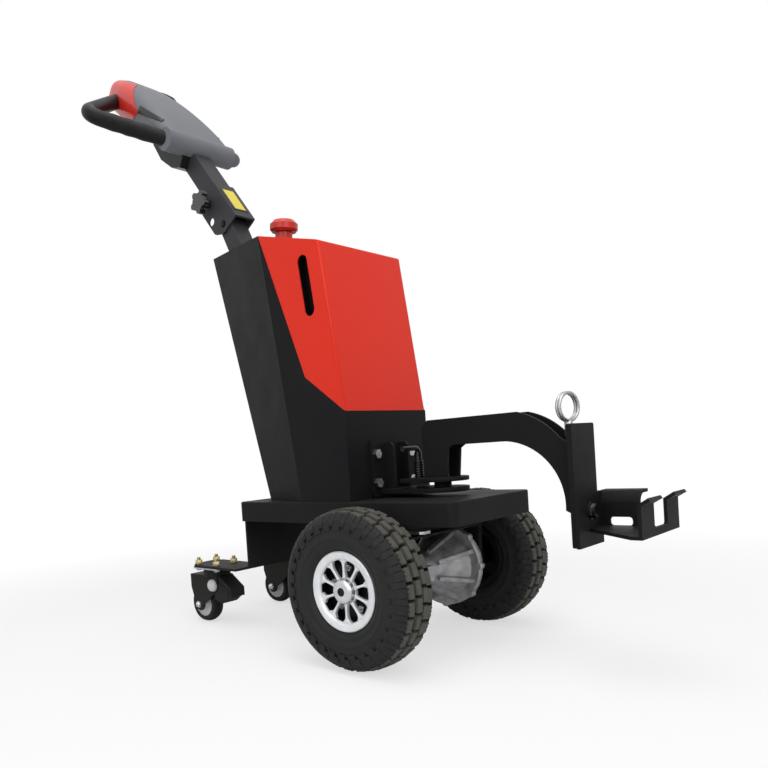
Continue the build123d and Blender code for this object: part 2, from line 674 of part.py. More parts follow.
# swinging tow arm: two cheek plates with a sunk top strip, on the upper swing plate
cheek_in = ARM_Y - ARM_T
root_z = UPPER_Z + UPPER_T
with BuildPart() as tow_arm:
    with BuildSketch(Plane.XY.offset(UPPER_Z)):
        with Locations(((PLUNGER_X + KING_X) / 2, 0)):
            RectangleRounded(KING_X - PLUNGER_X + 2 * PLUNGER_R + 20, 2 * SWING_R - 6, PLUNGER_R)
        with Locations((KING_X, 0)):
            Circle(SWING_R)
    extrude(amount=UPPER_T)
    for side in (-1, 1):
        with BuildSketch(side_plane(side * (ARM_Y - ARM_T / 2) + ARM_T / 2)):
            with BuildLine():
                start = KING_X - ARM_ROOT / 2
                foot = KING_X + ARM_ROOT / 2
                drop = ARM_TOP - ARM_LOW
                Polyline((ARM_BEND, ARM_TOP), (start + 12, ARM_TOP), (start, ARM_TOP - 12), (start, root_z),
                         (foot, root_z), (foot + 5, ARM_LOW - 6), (foot + 14, ARM_LOW),
                         (ARM_BEND - ARM_TOE, ARM_LOW))
                ThreePointArc((ARM_BEND - ARM_TOE, ARM_LOW),
                              (HITCH_X - ARM_CROTCH, ARM_LOW - 0.75 * ARM_CROTCH),
                              (HITCH_X - 15, HITCH_HOLE_Z + 2))
                Polyline((HITCH_X - 15, HITCH_HOLE_Z + 2), (HITCH_X, HITCH_HOLE_Z - 6),
                         (HITCH_X, ARM_TOP - drop - 12), (HITCH_X - ARM_TOE, ARM_TOP - drop + 2))
                ThreePointArc((HITCH_X - ARM_TOE, ARM_TOP - drop + 2),
                              (HITCH_X - ARM_KNEE, ARM_TOP - 0.36 * ARM_KNEE), (ARM_BEND, ARM_TOP))
            make_face()
        extrude(amount=ARM_T)
    strip_l = ARM_BEND - start - 12
    with Locations((start + 12 + strip_l / 2, 0, ARM_TOP - STRIP_SINK - STRIP_T / 2)):
        Box(strip_l, 2 * cheek_in, STRIP_T)
    with Locations((HITCH_X - PIN_BACK, 0, ARM_LOW - PIN_BLOCK_H)):
        Box(2 * PIN_BACK, 2 * cheek_in, PIN_BLOCK_H)
        Cylinder(PIN_R + FIT, 2 * PIN_BLOCK_H, mode=Mode.SUBTRACT)
    with Locations((KING_X, 0, UPPER_Z)):
        Cylinder(KING_R + FIT, 4 * UPPER_T, mode=Mode.SUBTRACT)
    with Locations((PLUNGER_X, 0, UPPER_Z)):
        Cylinder(PLUNGER_R + SEAT, 4 * UPPER_T, mode=Mode.SUBTRACT)
keep("tow_arm", tow_arm)

hole_frame = Plane((HITCH_X, 0, HITCH_HOLE_Z), x_dir=(0, 1, 0), z_dir=(1, 0, 0))
with BuildPart() as hitch_plate:
    with BuildSketch(hole_frame):
        with Locations((0, (HITCH_Z0 + HITCH_Z1) / 2 - HITCH_HOLE_Z)):
            RectangleRounded(HITCH_W, HITCH_Z1 - HITCH_Z0, HITCH_T / 2)
        Circle(HITCH_HOLE_R, mode=Mode.SUBTRACT)
    extrude(amount=HITCH_T)
keep("hitch_plate", hitch_plate)

# hook bracket: back plate, side wall bent over at its top, floor strip and a front with two prongs
HOOK_X = HITCH_X + HITCH_T
prong_x = HOOK_X + HOOK_L
prong_y = (HOOK_W - PRONG_W) / 2
wall_y = HOOK_WALL_Y - HOOK_T / 2
bend_z = HOOK_TOP - HOOK_T / 2
with BuildPart() as hook:
    with BuildSketch(hole_frame.offset(HITCH_T)):
        with Locations((0, (HOOK_TOP + HITCH_Z0) / 2 - HITCH_HOLE_Z)):
            Rectangle(2 * HOOK_WALL_Y, HOOK_TOP - HITCH_Z0)
        Circle(HITCH_HOLE_R, mode=Mode.SUBTRACT)
    extrude(amount=HOOK_T)
    with BuildSketch(Plane((HOOK_X, 0, 0), x_dir=(0, 1, 0), z_dir=(1, 0, 0))):
        with BuildLine():
            FilletPolyline((wall_y, HOOK_Z), (wall_y, bend_z), (HOOK_W / 2, bend_z), radius=HOOK_BEND)
        trace(line_width=HOOK_T)
    extrude(amount=HOOK_WALL_L)
    with BuildSketch(side_plane(HOOK_WALL_Y)):
        with Locations((HOOK_X + 0.55 * HOOK_WALL_L, HOOK_Z + 2.3 * HOOK_T)):
            RectangleRounded(0.54 * HOOK_WALL_L, 2.6 * HOOK_T, HOOK_T)
    extrude(amount=HOOK_T, mode=Mode.SUBTRACT)
    with BuildSketch(Plane.XY.offset(HOOK_Z)):
        with BuildLine():
            Polyline((HOOK_X, 0), (HOOK_X, HOOK_WALL_Y), (prong_x, HOOK_WALL_Y), (prong_x, -HOOK_W / 2),
                     (prong_x - 3 * HOOK_T, -HOOK_W / 2), close=True)
        make_face()
    extrude(amount=HOOK_T)
    with BuildSketch(Plane((prong_x, 0, HOOK_Z), x_dir=(0, 1, 0), z_dir=(1, 0, 0))) as front:
        with Locations((0, PRONG_FOOT / 2)):
            Rectangle(HOOK_W, PRONG_FOOT)
        for side in (-1, 1):
            with Locations((side * prong_y, (PRONG_TOP - HOOK_Z) / 2)):
                Rectangle(PRONG_W, PRONG_TOP - HOOK_Z)
        fillet(front.vertices().group_by(Axis.Y)[1], HOOK_T)
    extrude(amount=-HOOK_T)
    for far_edge in (HOOK_W / 2, PRONG_W - HOOK_W / 2):
        with BuildSketch(side_plane(far_edge)):
            with BuildLine():
                lip_z = PRONG_TOP + 0.6 * LIP
                Polyline((prong_x - HOOK_T, PRONG_TOP), (prong_x, PRONG_TOP), (prong_x + LIP, lip_z),
                         (prong_x + LIP - 3, lip_z + 4), (prong_x - HOOK_T, PRONG_TOP + 2), close=True)
            make_face()
        extrude(amount=PRONG_W)
keep("hook_bracket", hook)

# drop pin with its pull ring
pin_x = HITCH_X - PIN_BACK
collar_z = ARM_LOW - PIN_BLOCK_H / 2
with BuildPart() as drop_pin:
    with Locations((pin_x, 0, collar_z - 2 * PIN_BLOCK_H)):
        pin_l = HITCH_Z1 + PIN_R - collar_z + 2 * PIN_BLOCK_H
        Cylinder(PIN_R, pin_l, align=(Align.CENTER, Align.CENTER, Align.MIN))
    with Locations((pin_x, 0, collar_z)):
        Cylinder(2 * PIN_R - 1, PIN_R, align=(Align.CENTER, Align.CENTER, Align.MIN))
    with Locations((pin_x, 0, HITCH_Z1 + RING_R + 2 * RING_WIRE)):
        Torus(RING_R, RING_WIRE, rotation=(90, 0, 30))
keep("drop_pin", drop_pin)

# spring plunger that locks the arm, shown pulled up and parked
with BuildPart() as lock_plunger:
    with Locations((PLUNGER_X, 0, UPPER_Z + UPPER_T / 2)):
        Cylinder(PLUNGER_R, PLUNGER_H, align=(Align.CENTER, Align.CENTER, Align.MIN))
    pitch = (PLUNGER_H - 20) / SPRING_TURNS
    for i in range(SPRING_TURNS):
        with Locations((PLUNGER_X, 0, root_z + (i + 0.5) * pitch)):
            Torus(SPRING_R - SPRING_WIRE, SPRING_WIRE)
            Cylinder(SPRING_R - SPRING_WIRE, pitch)
    handle_z = UPPER_Z + UPPER_T / 2 + PLUNGER_H
    with BuildLine(Plane((PLUNGER_X, 0, 0), x_dir=(0, -1, 0), z_dir=(-1, 0, 0))) as rod:
        FilletPolyline((0, handle_z - PLUNGER_R), (0, handle_z + PLUNGER_R), (HANDLE_L, handle_z + PLUNGER_R),
                       radius=2 * HANDLE_R)
    with BuildSketch(Plane(rod.line @ 0, z_dir=rod.line % 0)):
        Circle(HANDLE_R)
    sweep(path=rod.line)
keep("lock_plunger", lock_plunger)

# tiller channel on the pivot
tiller = slanted_plane(PIVOT_BACK, PIVOT_Z, TILLER_TILT, 0)
with BuildPart() as channel:
    with BuildSketch(tiller) as strap:
        with BuildLine():
            Polyline((-20, CHANNEL_FRONT - 10), (-20, CHANNEL_FRONT), (CHANNEL_L, CHANNEL_FRONT),
                     (CHANNEL_L, -CHANNEL_BACK), (4, -CHANNEL_BACK), (-16, -14), close=True)
        make_face()
        fillet(strap.vertices().sort_by(Axis.Y)[:3], 12)
    extrude(amount=flange_y, both=True)
    with BuildSketch(tiller):
        with Locations((CHANNEL_L / 2, -CHANNEL_T)):
            Rectangle(2 * CHANNEL_L, 2 * CHANNEL_FRONT)
    extrude(amount=flange_y - CHANNEL_T, both=True, mode=Mode.SUBTRACT)
    with BuildSketch(tiller):
        Circle(PIVOT_R + FIT)
        with Locations((CHANNEL_HOLE, 10 - CHANNEL_BACK)):
            Circle(PIVOT_R - 2)
    extrude(amount=2 * flange_y, both=True, mode=Mode.SUBTRACT)
keep("tiller_channel", channel)

# tiller head: moulded shell on the cross sleeve, under-shell about the tube, side loops and controls
head_side = slanted_plane(HEAD_BACK, HEAD_Z, HEAD_TILT, 0)
head_top = Plane(head_side.origin, x_dir=head_side.x_dir, z_dir=head_side.y_dir)
with BuildPart() as head_body:
    for way_up, half_w, under, top in HEAD_SECTIONS:
        station = head_side.from_local_coords((way_up, (under + top) / 2, 0))
        with BuildSketch(Plane(station, x_dir=(0, 1, 0), z_dir=head_side.x_dir)):
            RectangleRounded(2 * half_w, top - under, 0.44 * (top - under))
    loft()
with BuildPart() as nose_block:
    with BuildSketch(head_side):
        with BuildLine():
            Polyline((NOSE_LOW, -BELLY_W), (NOSE_TOP, BELLY_W), (BELLY_U, BELLY_W), (BELLY_U, -BELLY_W),
                     close=True)
        make_face()
    extrude(amount=2 * BELLY_W, both=True)
with BuildPart() as head_shell:
    add(head_body.part)
    add(nose_block.part, mode=Mode.SUBTRACT)
    with BuildSketch(head_side):
        Circle(SLEEVE_R)
    extrude(amount=SLEEVE_Y, both=True)
keep("head_shell", head_shell)

tube_half = flange_y - CHANNEL_T
tube_mid = (TUBE_FOOT + TUBE_L / 2, CHANNEL_FRONT - CHANNEL_T - TUBE_D / 2)
with BuildPart() as tube:
    with BuildSketch(tiller):
        with Locations(tube_mid):
            Rectangle(TUBE_L, TUBE_D)
    extrude(amount=tube_half, both=True)
    with BuildSketch(tiller):
        with Locations(tube_mid):
            Rectangle(2 * TUBE_L, TUBE_D - 2 * TUBE_WALL)
    extrude(amount=tube_half - TUBE_WALL, both=True, mode=Mode.SUBTRACT)
    add(head_shell.part, mode=Mode.SUBTRACT)
keep("tiller_tube", tube)

with BuildPart() as head_base:
    with BuildSketch(head_side):
        with BuildLine():
            Polyline((-0.6 * SLEEVE_R, 0), (-0.8 * SLEEVE_R, 12 - BASE_DEPTH), (10, -BASE_DEPTH),
                     (BASE_L / 2, -BASE_DEPTH), (BASE_L - 10, 18 - BASE_DEPTH), (BASE_L, 0), close=True)
        make_face()
    extrude(amount=BASE_W / 2, both=True)
    with BuildSketch(tiller):
        with Locations(tube_mid):
            Rectangle(TUBE_L, TUBE_D)
    extrude(amount=tube_half, both=True, mode=Mode.SUBTRACT)
    add(head_shell.part, mode=Mode.SUBTRACT)
keep("head_base", head_base)

with BuildPart() as loops:
    for side in (-1, 1):
        with BuildLine(head_top) as bar:
            FilletPolyline((0, side * 0.8 * SLEEVE_Y, 0), (LOOP_U, side * LOOP_Y, -LOOP_DROOP),
                           (LOOP_END_U, side * LOOP_END_Y, 0), radius=LOOP_BEND)
        with BuildSketch(Plane(bar.line @ 0, z_dir=bar.line % 0)):
            Circle(LOOP_R)
        sweep(path=bar.line)
    add(head_shell.part, mode=Mode.SUBTRACT)
    add(head_base.part, mode=Mode.SUBTRACT)
keep("handle_loops", loops)

with BuildPart() as belly:
    with BuildSketch(head_side) as flank_view:
        with BuildLine():
            Polyline((BELLY_FOOT, BELLY_N0), (BELLY_U, BELLY_N0), (BELLY_U, BELLY_N1),
                     (BELLY_FOOT, BELLY_N1 + 7), close=True)
        make_face()
        fillet(flank_view.vertices().group_by(Axis.X)[-1], BELLY_R)
    extrude(amount=BELLY_W, both=True)
    with BuildSketch(head_top) as plan_view:
        with BuildLine():
            Polyline((BELLY_FOOT, -BELLY_W / 2 - BELLY_R), (BELLY_U, -BELLY_W / 2), (BELLY_U, BELLY_W / 2),
                     (BELLY_FOOT, BELLY_W / 2 + BELLY_R), close=True)
        make_face()
        fillet(plan_view.vertices().group_by(Axis.X)[-1], BELLY_R)
    extrude(amount=2 * BELLY_W, both=True, mode=Mode.INTERSECT)
    add(head_body.part)
    add(head_shell.part, mode=Mode.SUBTRACT)
    add(loops.part, mode=Mode.SUBTRACT)
keep("belly_button", belly)

with BuildPart() as paddles:
    with BuildSketch(head_side):
        with Locations((PADDLE_U, PADDLE_N)):
            RectangleRounded(PADDLE_L, PADDLE_H, 0.45 * PADDLE_H, rotation=PADDLE_TURN)
    extrude(amount=HEAD_SECTIONS[1][1] - 3, both=True)
    with BuildSketch(head_top):
        with Locations((SWITCH_U, SWITCH_Y)):
            RectangleRounded(SWITCH_L, SWITCH_W, 0.45 * SWITCH_W)
    extrude(amount=HEAD_SECTIONS[2][3])
    add(head_shell.part, mode=Mode.SUBTRACT)
    add(belly.part, mode=Mode.SUBTRACT)
    add(loops.part, mode=Mode.SUBTRACT)
keep("throttle_paddles", paddles)

with BuildPart() as star_knob:
    with BuildSketch(slanted_plane(PIVOT_BACK, PIVOT_Z, TILLER_TILT, -flange_y)):
        with Locations((KNOB_UP, -4)):
            Circle(KNOB_R / 2)
    extrude(amount=-KNOB_STEM)
    with BuildSketch(slanted_plane(PIVOT_BACK, PIVOT_Z, TILLER_TILT, -flange_y - KNOB_STEM)):
        with Locations((KNOB_UP, -4)):
            Circle(KNOB_R)
            with PolarLocations(KNOB_R, 5):
                Circle(KNOB_R / 2.7)
    extrude(amount=-KNOB_T)
keep("star_knob", star_knob)

with BuildPart() as info_plate:
    plate_at = tiller.from_local_coords((CHANNEL_L / 2 - 8, CHANNEL_FRONT, 0))
    with BuildSketch(Plane(plate_at, x_dir=tiller.x_dir, z_dir=tiller.y_dir)):
        RectangleRounded(CHANNEL_L - 18, 2 * tube_half - 6, 4)
    extrude(amount=1)
keep("info_plate", info_plate)

os.makedirs("parts", exist_ok=True)
for name, piece in nodes.items():
    export_step(piece.moved(Location((-MID_X, 0, 0))), "parts/" + name + ".step")
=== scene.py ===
"""Dressed scene of a walk-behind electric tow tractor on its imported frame.

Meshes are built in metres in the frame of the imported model. The sizes that the classes hold are in
millimetres. Places that were read from the drive axle go through spot(), which moves them into that frame.
"""
from __future__ import annotations

import logging
import math
from dataclasses import dataclass
from enum import Enum
from typing import Sequence

import bmesh
import bpy
from mathutils import Matrix, Vector

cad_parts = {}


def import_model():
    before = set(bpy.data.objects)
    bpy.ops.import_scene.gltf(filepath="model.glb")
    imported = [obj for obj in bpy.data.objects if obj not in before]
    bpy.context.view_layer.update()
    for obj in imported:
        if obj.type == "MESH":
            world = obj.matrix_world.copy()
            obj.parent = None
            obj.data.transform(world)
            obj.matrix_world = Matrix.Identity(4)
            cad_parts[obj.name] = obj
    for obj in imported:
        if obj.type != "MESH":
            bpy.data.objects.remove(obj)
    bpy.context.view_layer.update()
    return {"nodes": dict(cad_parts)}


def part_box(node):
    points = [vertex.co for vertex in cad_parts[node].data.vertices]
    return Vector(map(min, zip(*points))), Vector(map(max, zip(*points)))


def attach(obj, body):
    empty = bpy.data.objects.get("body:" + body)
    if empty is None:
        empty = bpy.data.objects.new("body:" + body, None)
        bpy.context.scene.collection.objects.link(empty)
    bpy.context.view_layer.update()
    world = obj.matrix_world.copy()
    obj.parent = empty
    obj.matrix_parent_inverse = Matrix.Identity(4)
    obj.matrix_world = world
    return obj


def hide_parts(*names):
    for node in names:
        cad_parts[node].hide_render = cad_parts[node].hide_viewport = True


log = logging.getLogger("tow_tractor")
MM = 0.001
# Corners closer than this, in metres, are one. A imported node's loose triangles are joined more freely.
MERGE = 1e-6
NODE_MERGE = 1e-5
WELD_GAP = 2e-5
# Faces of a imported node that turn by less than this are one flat, and edges sharper than this are rounded.
FLAT_DEGREES = 0.6
EDGE_DEGREES = 32.0
EDGE_STEPS = 2
# Edges of a new piece that are sharper than this stay hard.
HARD_DEGREES = 35.0
UP = Vector((0, 0, 1))
Point = tuple[float, float, float]
Pairs = Sequence[tuple[float, float]]
Planes = Sequence[tuple[Point, Point]]
Tree = bpy.types.NodeTree
Socket = bpy.types.NodeSocket
Obj = bpy.types.Object


class Side(Enum):
    """The two sides of the machine: near is the one towards the camera."""

    NEAR = -1
    FAR = 1

    @property
    def tag(self) -> str:
        """The word that ends the names of the nodes on this side."""
        return self.name.lower()


# node, colour and mesh helpers


def linear(code: str) -> tuple[float, float, float, float]:
    """Turns an sRGB hex colour into linear RGBA.

    Args:
        code: Six hex digits, without the hash.

    Returns:
        Linear red, green, blue and an alpha of one.
    """
    parts = [int(code[i:i + 2], 16) / 255 for i in (0, 2, 4)]
    rgb = [c / 12.92 if c <= 0.04045 else ((c + 0.055) / 1.055) ** 2.4 for c in parts]
    return rgb[0], rgb[1], rgb[2], 1.0


def put(tree: Tree, kind: str, links: dict | None = None, **settings: object) -> bpy.types.Node:
    """Adds a node with its settings, its socket values and its incoming links.

    Args:
        tree: The node tree that takes the node.
        kind: Blender's type name of the node.
        links: Socket name or index to a value or to another node's output socket.
        settings: Attributes of the node itself.

    Returns:
        The new node.
    """
    node = tree.nodes.new(kind)
    for key, value in settings.items():
        setattr(node, key, value)
    for key, value in (links or {}).items():
        if isinstance(value, Socket):
            tree.links.new(value, node.inputs[key])
        else:
            node.inputs[key].default_value = value
    return node


def ramp(tree: Tree, source: Socket, stops: Sequence[tuple[float, str]]) -> Socket:
    """Adds a colour ramp over a factor.

    Args:
        tree: The material's node tree.
        source: The factor that the ramp reads.
        stops: Positions from 0 to 1 with hex colours.

    Returns:
        The ramp's colour output.
    """
    node = put(tree, "ShaderNodeValToRGB", {"Fac": source})
    bar = node.color_ramp.elements
    while len(bar) < len(stops):
        bar.new(0.5)
    for element, (place, code) in zip(bar, stops):
        element.position = place
        element.color = linear(code)
    return node.outputs["Color"]


def piece(name: str, mesh: bpy.types.Mesh) -> Obj:
    """Makes an object of a mesh at the origin and links it to the scene.

    Args:
        name: The piece's name.
        mesh: Its mesh.

    Returns:
        The new object.
    """
    obj = bpy.data.objects.new(name, mesh)
    bpy.context.scene.collection.objects.link(obj)
    return obj


def plain(name: str, bm: bmesh.types.BMesh) -> Obj:
    """Turns a bmesh into a piece as it stands.

    Args:
        name: The piece's name.
        bm: The mesh, which is freed.

    Returns:
        The new object.
    """
    mesh = bpy.data.meshes.new(name)
    bm.to_mesh(mesh)
    bm.free()
    return piece(name, mesh)


def from_bmesh(name: str, bm: bmesh.types.BMesh, smooth: float = HARD_DEGREES) -> Obj:
    """Turns a bmesh into a piece with outward faces and creased shading.

    Args:
        name: The piece's name.
        bm: The mesh, which is freed.
        smooth: Edges sharper than this angle in degrees stay hard.

    Returns:
        The new object.
    """
    bmesh.ops.remove_doubles(bm, verts=bm.verts, dist=MERGE)
    bmesh.ops.recalc_face_normals(bm, faces=bm.faces)
    for face in bm.faces:
        face.smooth = True
    for edge in bm.edges:
        if len(edge.link_faces) == 2 and edge.calc_face_angle(0.0) > math.radians(smooth):
            edge.smooth = False
    return plain(name, bm)


def bake(obj: Obj) -> Obj:
    """Turns an object with modifiers into a plain mesh piece of the same name.

    Args:
        obj: The object, which is removed.

    Returns:
        The plain piece.
    """
    bpy.context.view_layer.update()
    depsgraph = bpy.context.evaluated_depsgraph_get()
    mesh = bpy.data.meshes.new_from_object(obj.evaluated_get(depsgraph), depsgraph=depsgraph)
    name = obj.name
    bpy.data.objects.remove(obj, do_unlink=True)
    return piece(name, mesh)


def metres(pairs: Pairs) -> list[tuple[float, float]]:
    """Turns pairs in millimetres into metres."""
    return [(u * MM, v * MM) for u, v in pairs]


def lathe(bm: bmesh.types.BMesh, profile: Pairs, place: Matrix, steps: int) -> None:
    """Turns a profile about the local z axis.

    Args:
        bm: The mesh that takes the faces.
        profile: Pairs of radius and height, from one end of the line to the other.
        place: Where the turned shape goes.
        steps: Faces round the axis.
    """
    rings = []
    for radius, height in profile:
        turns = steps if radius > MERGE else 1
        rings.append([bm.verts.new(place @ Vector((radius * math.cos(a), radius * math.sin(a), height)))
                      for a in (2 * math.pi * i / steps for i in range(turns))])
    for low, high in zip(rings, rings[1:]):
        for i in range(steps):
            j = i + 1
            loop = [low[i % len(low)], low[j % len(low)], high[j % len(high)], high[i % len(high)]]
            unique = list(dict.fromkeys(loop))
            if len(unique) > 2:
                bm.faces.new(unique)


def slab(bm: bmesh.types.BMesh, outline: Pairs, low: float, high: float, place: Matrix,
         taper: float = 1.0) -> None:
    """Raises a flat outline into a closed block along the local z axis.

    Args:
        bm: The mesh that takes the faces.
        outline: Corners of the outline in the local x and y.
        low: Height of the foot.
        high: Height of the top.
        place: Where the block goes.
        taper: Size of the top against the foot.
    """
    cx = sum(p[0] for p in outline) / len(outline)
    cy = sum(p[1] for p in outline) / len(outline)
    foot = [bm.verts.new(place @ Vector((x, y, low))) for x, y in outline]
    top = [bm.verts.new(place @ Vector((cx + (x - cx) * taper, cy + (y - cy) * taper, high)))
           for x, y in outline]
    bm.faces.new(foot[::-1])
    bm.faces.new(top)
    for i in range(len(outline)):
        j = (i + 1) % len(outline)
        bm.faces.new((foot[i], foot[j], top[j], top[i]))


def turned(name: str, profile: Pairs, place: Matrix, steps: int, smooth: float = HARD_DEGREES) -> Obj:
    """Makes a piece of one profile turned about the local z axis.

    Args:
        name: The piece's name.
        profile: Pairs of radius and height in millimetres.
        place: Where the turned shape goes.
        steps: Faces round the axis.
        smooth: Edges sharper than this angle in degrees stay hard.

    Returns:
        The new object.
    """
    bm = bmesh.new()
    lathe(bm, metres(profile), place, steps)
    return from_bmesh(name, bm, smooth)


def raised(name: str, outline: Pairs, low: float, high: float, place: Matrix,
           smooth: float = HARD_DEGREES) -> Obj:
    """Makes a piece of one flat outline raised along the local z axis.

    Args:
        name: The piece's name.
        outline: Corners of the outline in millimetres.
        low: Height of the foot in millimetres.
        high: Height of the top in millimetres.
        place: Where the block goes.
        smooth: Edges sharper than this angle in degrees stay hard.

    Returns:
        The new object.
    """
    bm = bmesh.new()
    slab(bm, metres(outline), low * MM, high * MM, place)
    return from_bmesh(name, bm, smooth)


def frame_at(origin: Sequence[float], x_dir: Sequence[float], z_dir: Sequence[float]) -> Matrix:
    """Builds a placing matrix from an origin and two directions.

    Args:
        origin: Where the local origin goes.
        x_dir: Roughly where the local x axis points.
        z_dir: Where the local z axis points.

    Returns:
        The matrix.
    """
    z = Vector(z_dir).normalized()
    x = Vector(x_dir)
    x = (x - z * x.dot(z)).normalized()
    y = z.cross(x)
    turn = Matrix((x, y, z)).transposed().to_4x4()
    return Matrix.Translation(Vector(origin)) @ turn


def corners_of(node: str) -> tuple[Vector, Vector]:
    """The low and the high corner of a node's box at rest."""
    low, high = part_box(node)
    return Vector(low), Vector(high)


def middle(node: str) -> Vector:
    """The middle of a node's box at rest."""
    low, high = corners_of(node)
    return (low + high) / 2


def spot(x: float, y: float, z: float) -> Vector:
    """Moves a place in millimetres from the drive axle, over the ground, into the frame."""
    return Vector((middle("tyre_near").x + x * MM, y * MM, z * MM))


def mount(done: Sequence[tuple[Obj, str]], body: str) -> list[Obj]:
    """Fixes pieces to the body that they ride on.

    Args:
        done: The pieces with their slots.
        body: The body's name.

    Returns:
        The pieces.
    """
    for obj, slot in done:
        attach(obj, body)
    return [obj for obj, _ in done]


# finishes

# The noise mostly stays between these two values, so colours and gloss are spread over them.
CLOUD_FROM, CLOUD_TO = 0.3, 0.7
GLOSS_SPREAD = 0.15
BUMP_STRENGTH = 0.6
COAT_ROUGH = 0.08
DUST_AT_GROUND = 0.55
# The wave texture runs one cycle over this length at a scale of one.
WAVE_CYCLE = 0.31416


@dataclass(frozen=True)
class Finish:
    """A surface finish: its real material, its colours and how its pattern is scaled."""

    name: str
    colour: str
    shade: str
    rough: float
    grain_mm: float
    cloud_mm: float
    bump_mm: float = 0.02
    metal: float = 0.0
    coat: float = 0.0
    ior: float = 1.5
    shine: float = 0.5
    dust: str = ""
    dust_top_mm: float = 0.0

    def make(self) -> bpy.types.Material:
        """Builds the node material: clouded colour, varied gloss and a fine bump.

        Returns:
            The material.
        """
        mat = bpy.data.materials.new(self.name)
        mat.use_nodes = True
        tree = mat.node_tree
        tree.nodes.clear()
        where = put(tree, "ShaderNodeTexCoord").outputs["Object"]
        cloud = put(tree, "ShaderNodeTexNoise", {
            "Vector": where, "Scale": 1 / (self.cloud_mm * MM), "Detail": 5.0, "Roughness": 0.6}).outputs["Fac"]
        grain = put(tree, "ShaderNodeTexNoise", {
            "Vector": where, "Scale": 1 / (self.grain_mm * MM), "Detail": 2.0, "Roughness": 0.5}).outputs["Fac"]
        colour = self.tint(tree, where, cloud, grain)
        gloss = put(tree, "ShaderNodeMapRange", {
            "Value": cloud, "From Min": CLOUD_FROM, "From Max": CLOUD_TO,
            "To Min": self.rough * (1 - GLOSS_SPREAD), "To Max": self.rough * (1 + GLOSS_SPREAD)})
        bump = put(tree, "ShaderNodeBump", {
            "Strength": BUMP_STRENGTH, "Distance": self.bump_mm * MM, "Height": self.relief(tree, where, grain)})
        shader = put(tree, "ShaderNodeBsdfPrincipled", {
            "Base Color": colour, "Roughness": gloss.outputs["Result"], "Metallic": self.metal, "IOR": self.ior,
            "Specular IOR Level": self.shine, "Coat Weight": self.coat, "Coat Roughness": COAT_ROUGH,
            "Normal": bump.outputs["Normal"]})
        put(tree, "ShaderNodeOutputMaterial", {"Surface": shader.outputs["BSDF"]})
        return mat

    def tint(self, tree: Tree, where: Socket, cloud: Socket, grain: Socket) -> Socket:
        """Colours the surface between its two tones, with dust towards the ground where it has any.

        Args:
            tree: The material's node tree.
            where: Object coordinates.
            cloud: The broad noise.
            grain: The fine noise.

        Returns:
            The colour.
        """
        colour = ramp(tree, cloud, ((CLOUD_FROM, self.shade), (CLOUD_TO, self.colour)))
        if not self.dust:
            return colour
        height = put(tree, "ShaderNodeSeparateXYZ", {"Vector": where}).outputs["Z"]
        low = put(tree, "ShaderNodeMapRange", {
            "Value": height, "From Min": 0.0, "From Max": self.dust_top_mm * MM,
            "To Min": DUST_AT_GROUND, "To Max": 0.0})
        share = put(tree, "ShaderNodeMath", {0: low.outputs["Result"], 1: grain}, operation="MULTIPLY")
        mixed = put(tree, "ShaderNodeMix", {
            0: share.outputs["Value"], 6: colour, 7: linear(self.dust)}, data_type="RGBA")
        return mixed.outputs[2]

    def relief(self, tree: Tree, where: Socket, grain: Socket) -> Socket:
        """The height that the bump reads: the fine noise."""
        return grain


@dataclass(frozen=True)
class TurnedFinish(Finish):
    """A lathe-turned metal face: fine rings about an axle that lies along Y."""

    centre: Point = (0.0, 0.0, 0.0)
    ring_mm: float = 1.6

    def relief(self, tree: Tree, where: Socket, grain: Socket) -> Socket:
        """Rings about the axle, broken a little by the grain.

        Args:
            tree: The material's node tree.
            where: Object coordinates.
            grain: The fine noise.

        Returns:
            The height.
        """
        moved = put(tree, "ShaderNodeMapping", {"Vector": where, "Location": [-c for c in self.centre]})
        rings = put(tree, "ShaderNodeTexWave", {
            "Vector": moved.outputs["Vector"], "Scale": WAVE_CYCLE / (self.ring_mm * MM), "Distortion": 0.4},
            wave_type="RINGS", rings_direction="Y")
        total = put(tree, "ShaderNodeMath", {0: rings.outputs["Fac"], 1: grain}, operation="ADD")
        return total.outputs["Value"]


# Satin polyester powder coat on steel: near black, lifted to dark grey where it faces the light, with
# the fine orange peel of a baked coat. The peel is drawn at 3 mm, coarser than life, so that it shows.
POWDER = Finish("powder_coat_black", "1c1c1d", "18181a", 0.5, 3.0, 90.0, 0.03, shine=0.06)
# The same coat lower down, under a thin film of road dust.
POWDER_LOW = Finish("powder_coat_black_dusty", "222222", "1c1c1c", 0.55, 3.0, 90.0, 0.03, shine=0.06,
                    dust="4a4641", dust_top_mm=200.0)
# The tiller's coat is a graphite grey with the same peel.
GRAPHITE = Finish("powder_coat_graphite", "3a3a3c", "343436", 0.46, 3.0, 90.0, 0.03, shine=0.15)
# Gloss red enamel on sheet steel: clean strong red with a soft wet highlight.
ENAMEL = Finish("enamel_red", "dc3220", "d62f1e", 0.34, 4.0, 260.0, 0.008, coat=0.05, shine=0.12)
# Injection-moulded red ABS of the stop button and of the head's nose and wings: satin, with a soft highlight.
RED_ABS = Finish("moulded_abs_red", "cc2f25", "b9271f", 0.34, 1.5, 30.0, 0.02, coat=0.2, shine=0.25)
# Spark-grained grey ABS of the tiller head: matt, even, with a fine leathery grain.
GREY_ABS = Finish("moulded_abs_grey", "707276", "696b6f", 0.55, 1.2, 60.0, 0.05, shine=0.2)
# Black glass-filled nylon of the head's under-shell and inserts: dark, with a soft sheen.
BLACK_NYLON = Finish("moulded_nylon_black", "1c1c1d", "151516", 0.34, 1.2, 40.0, 0.03, shine=0.3)
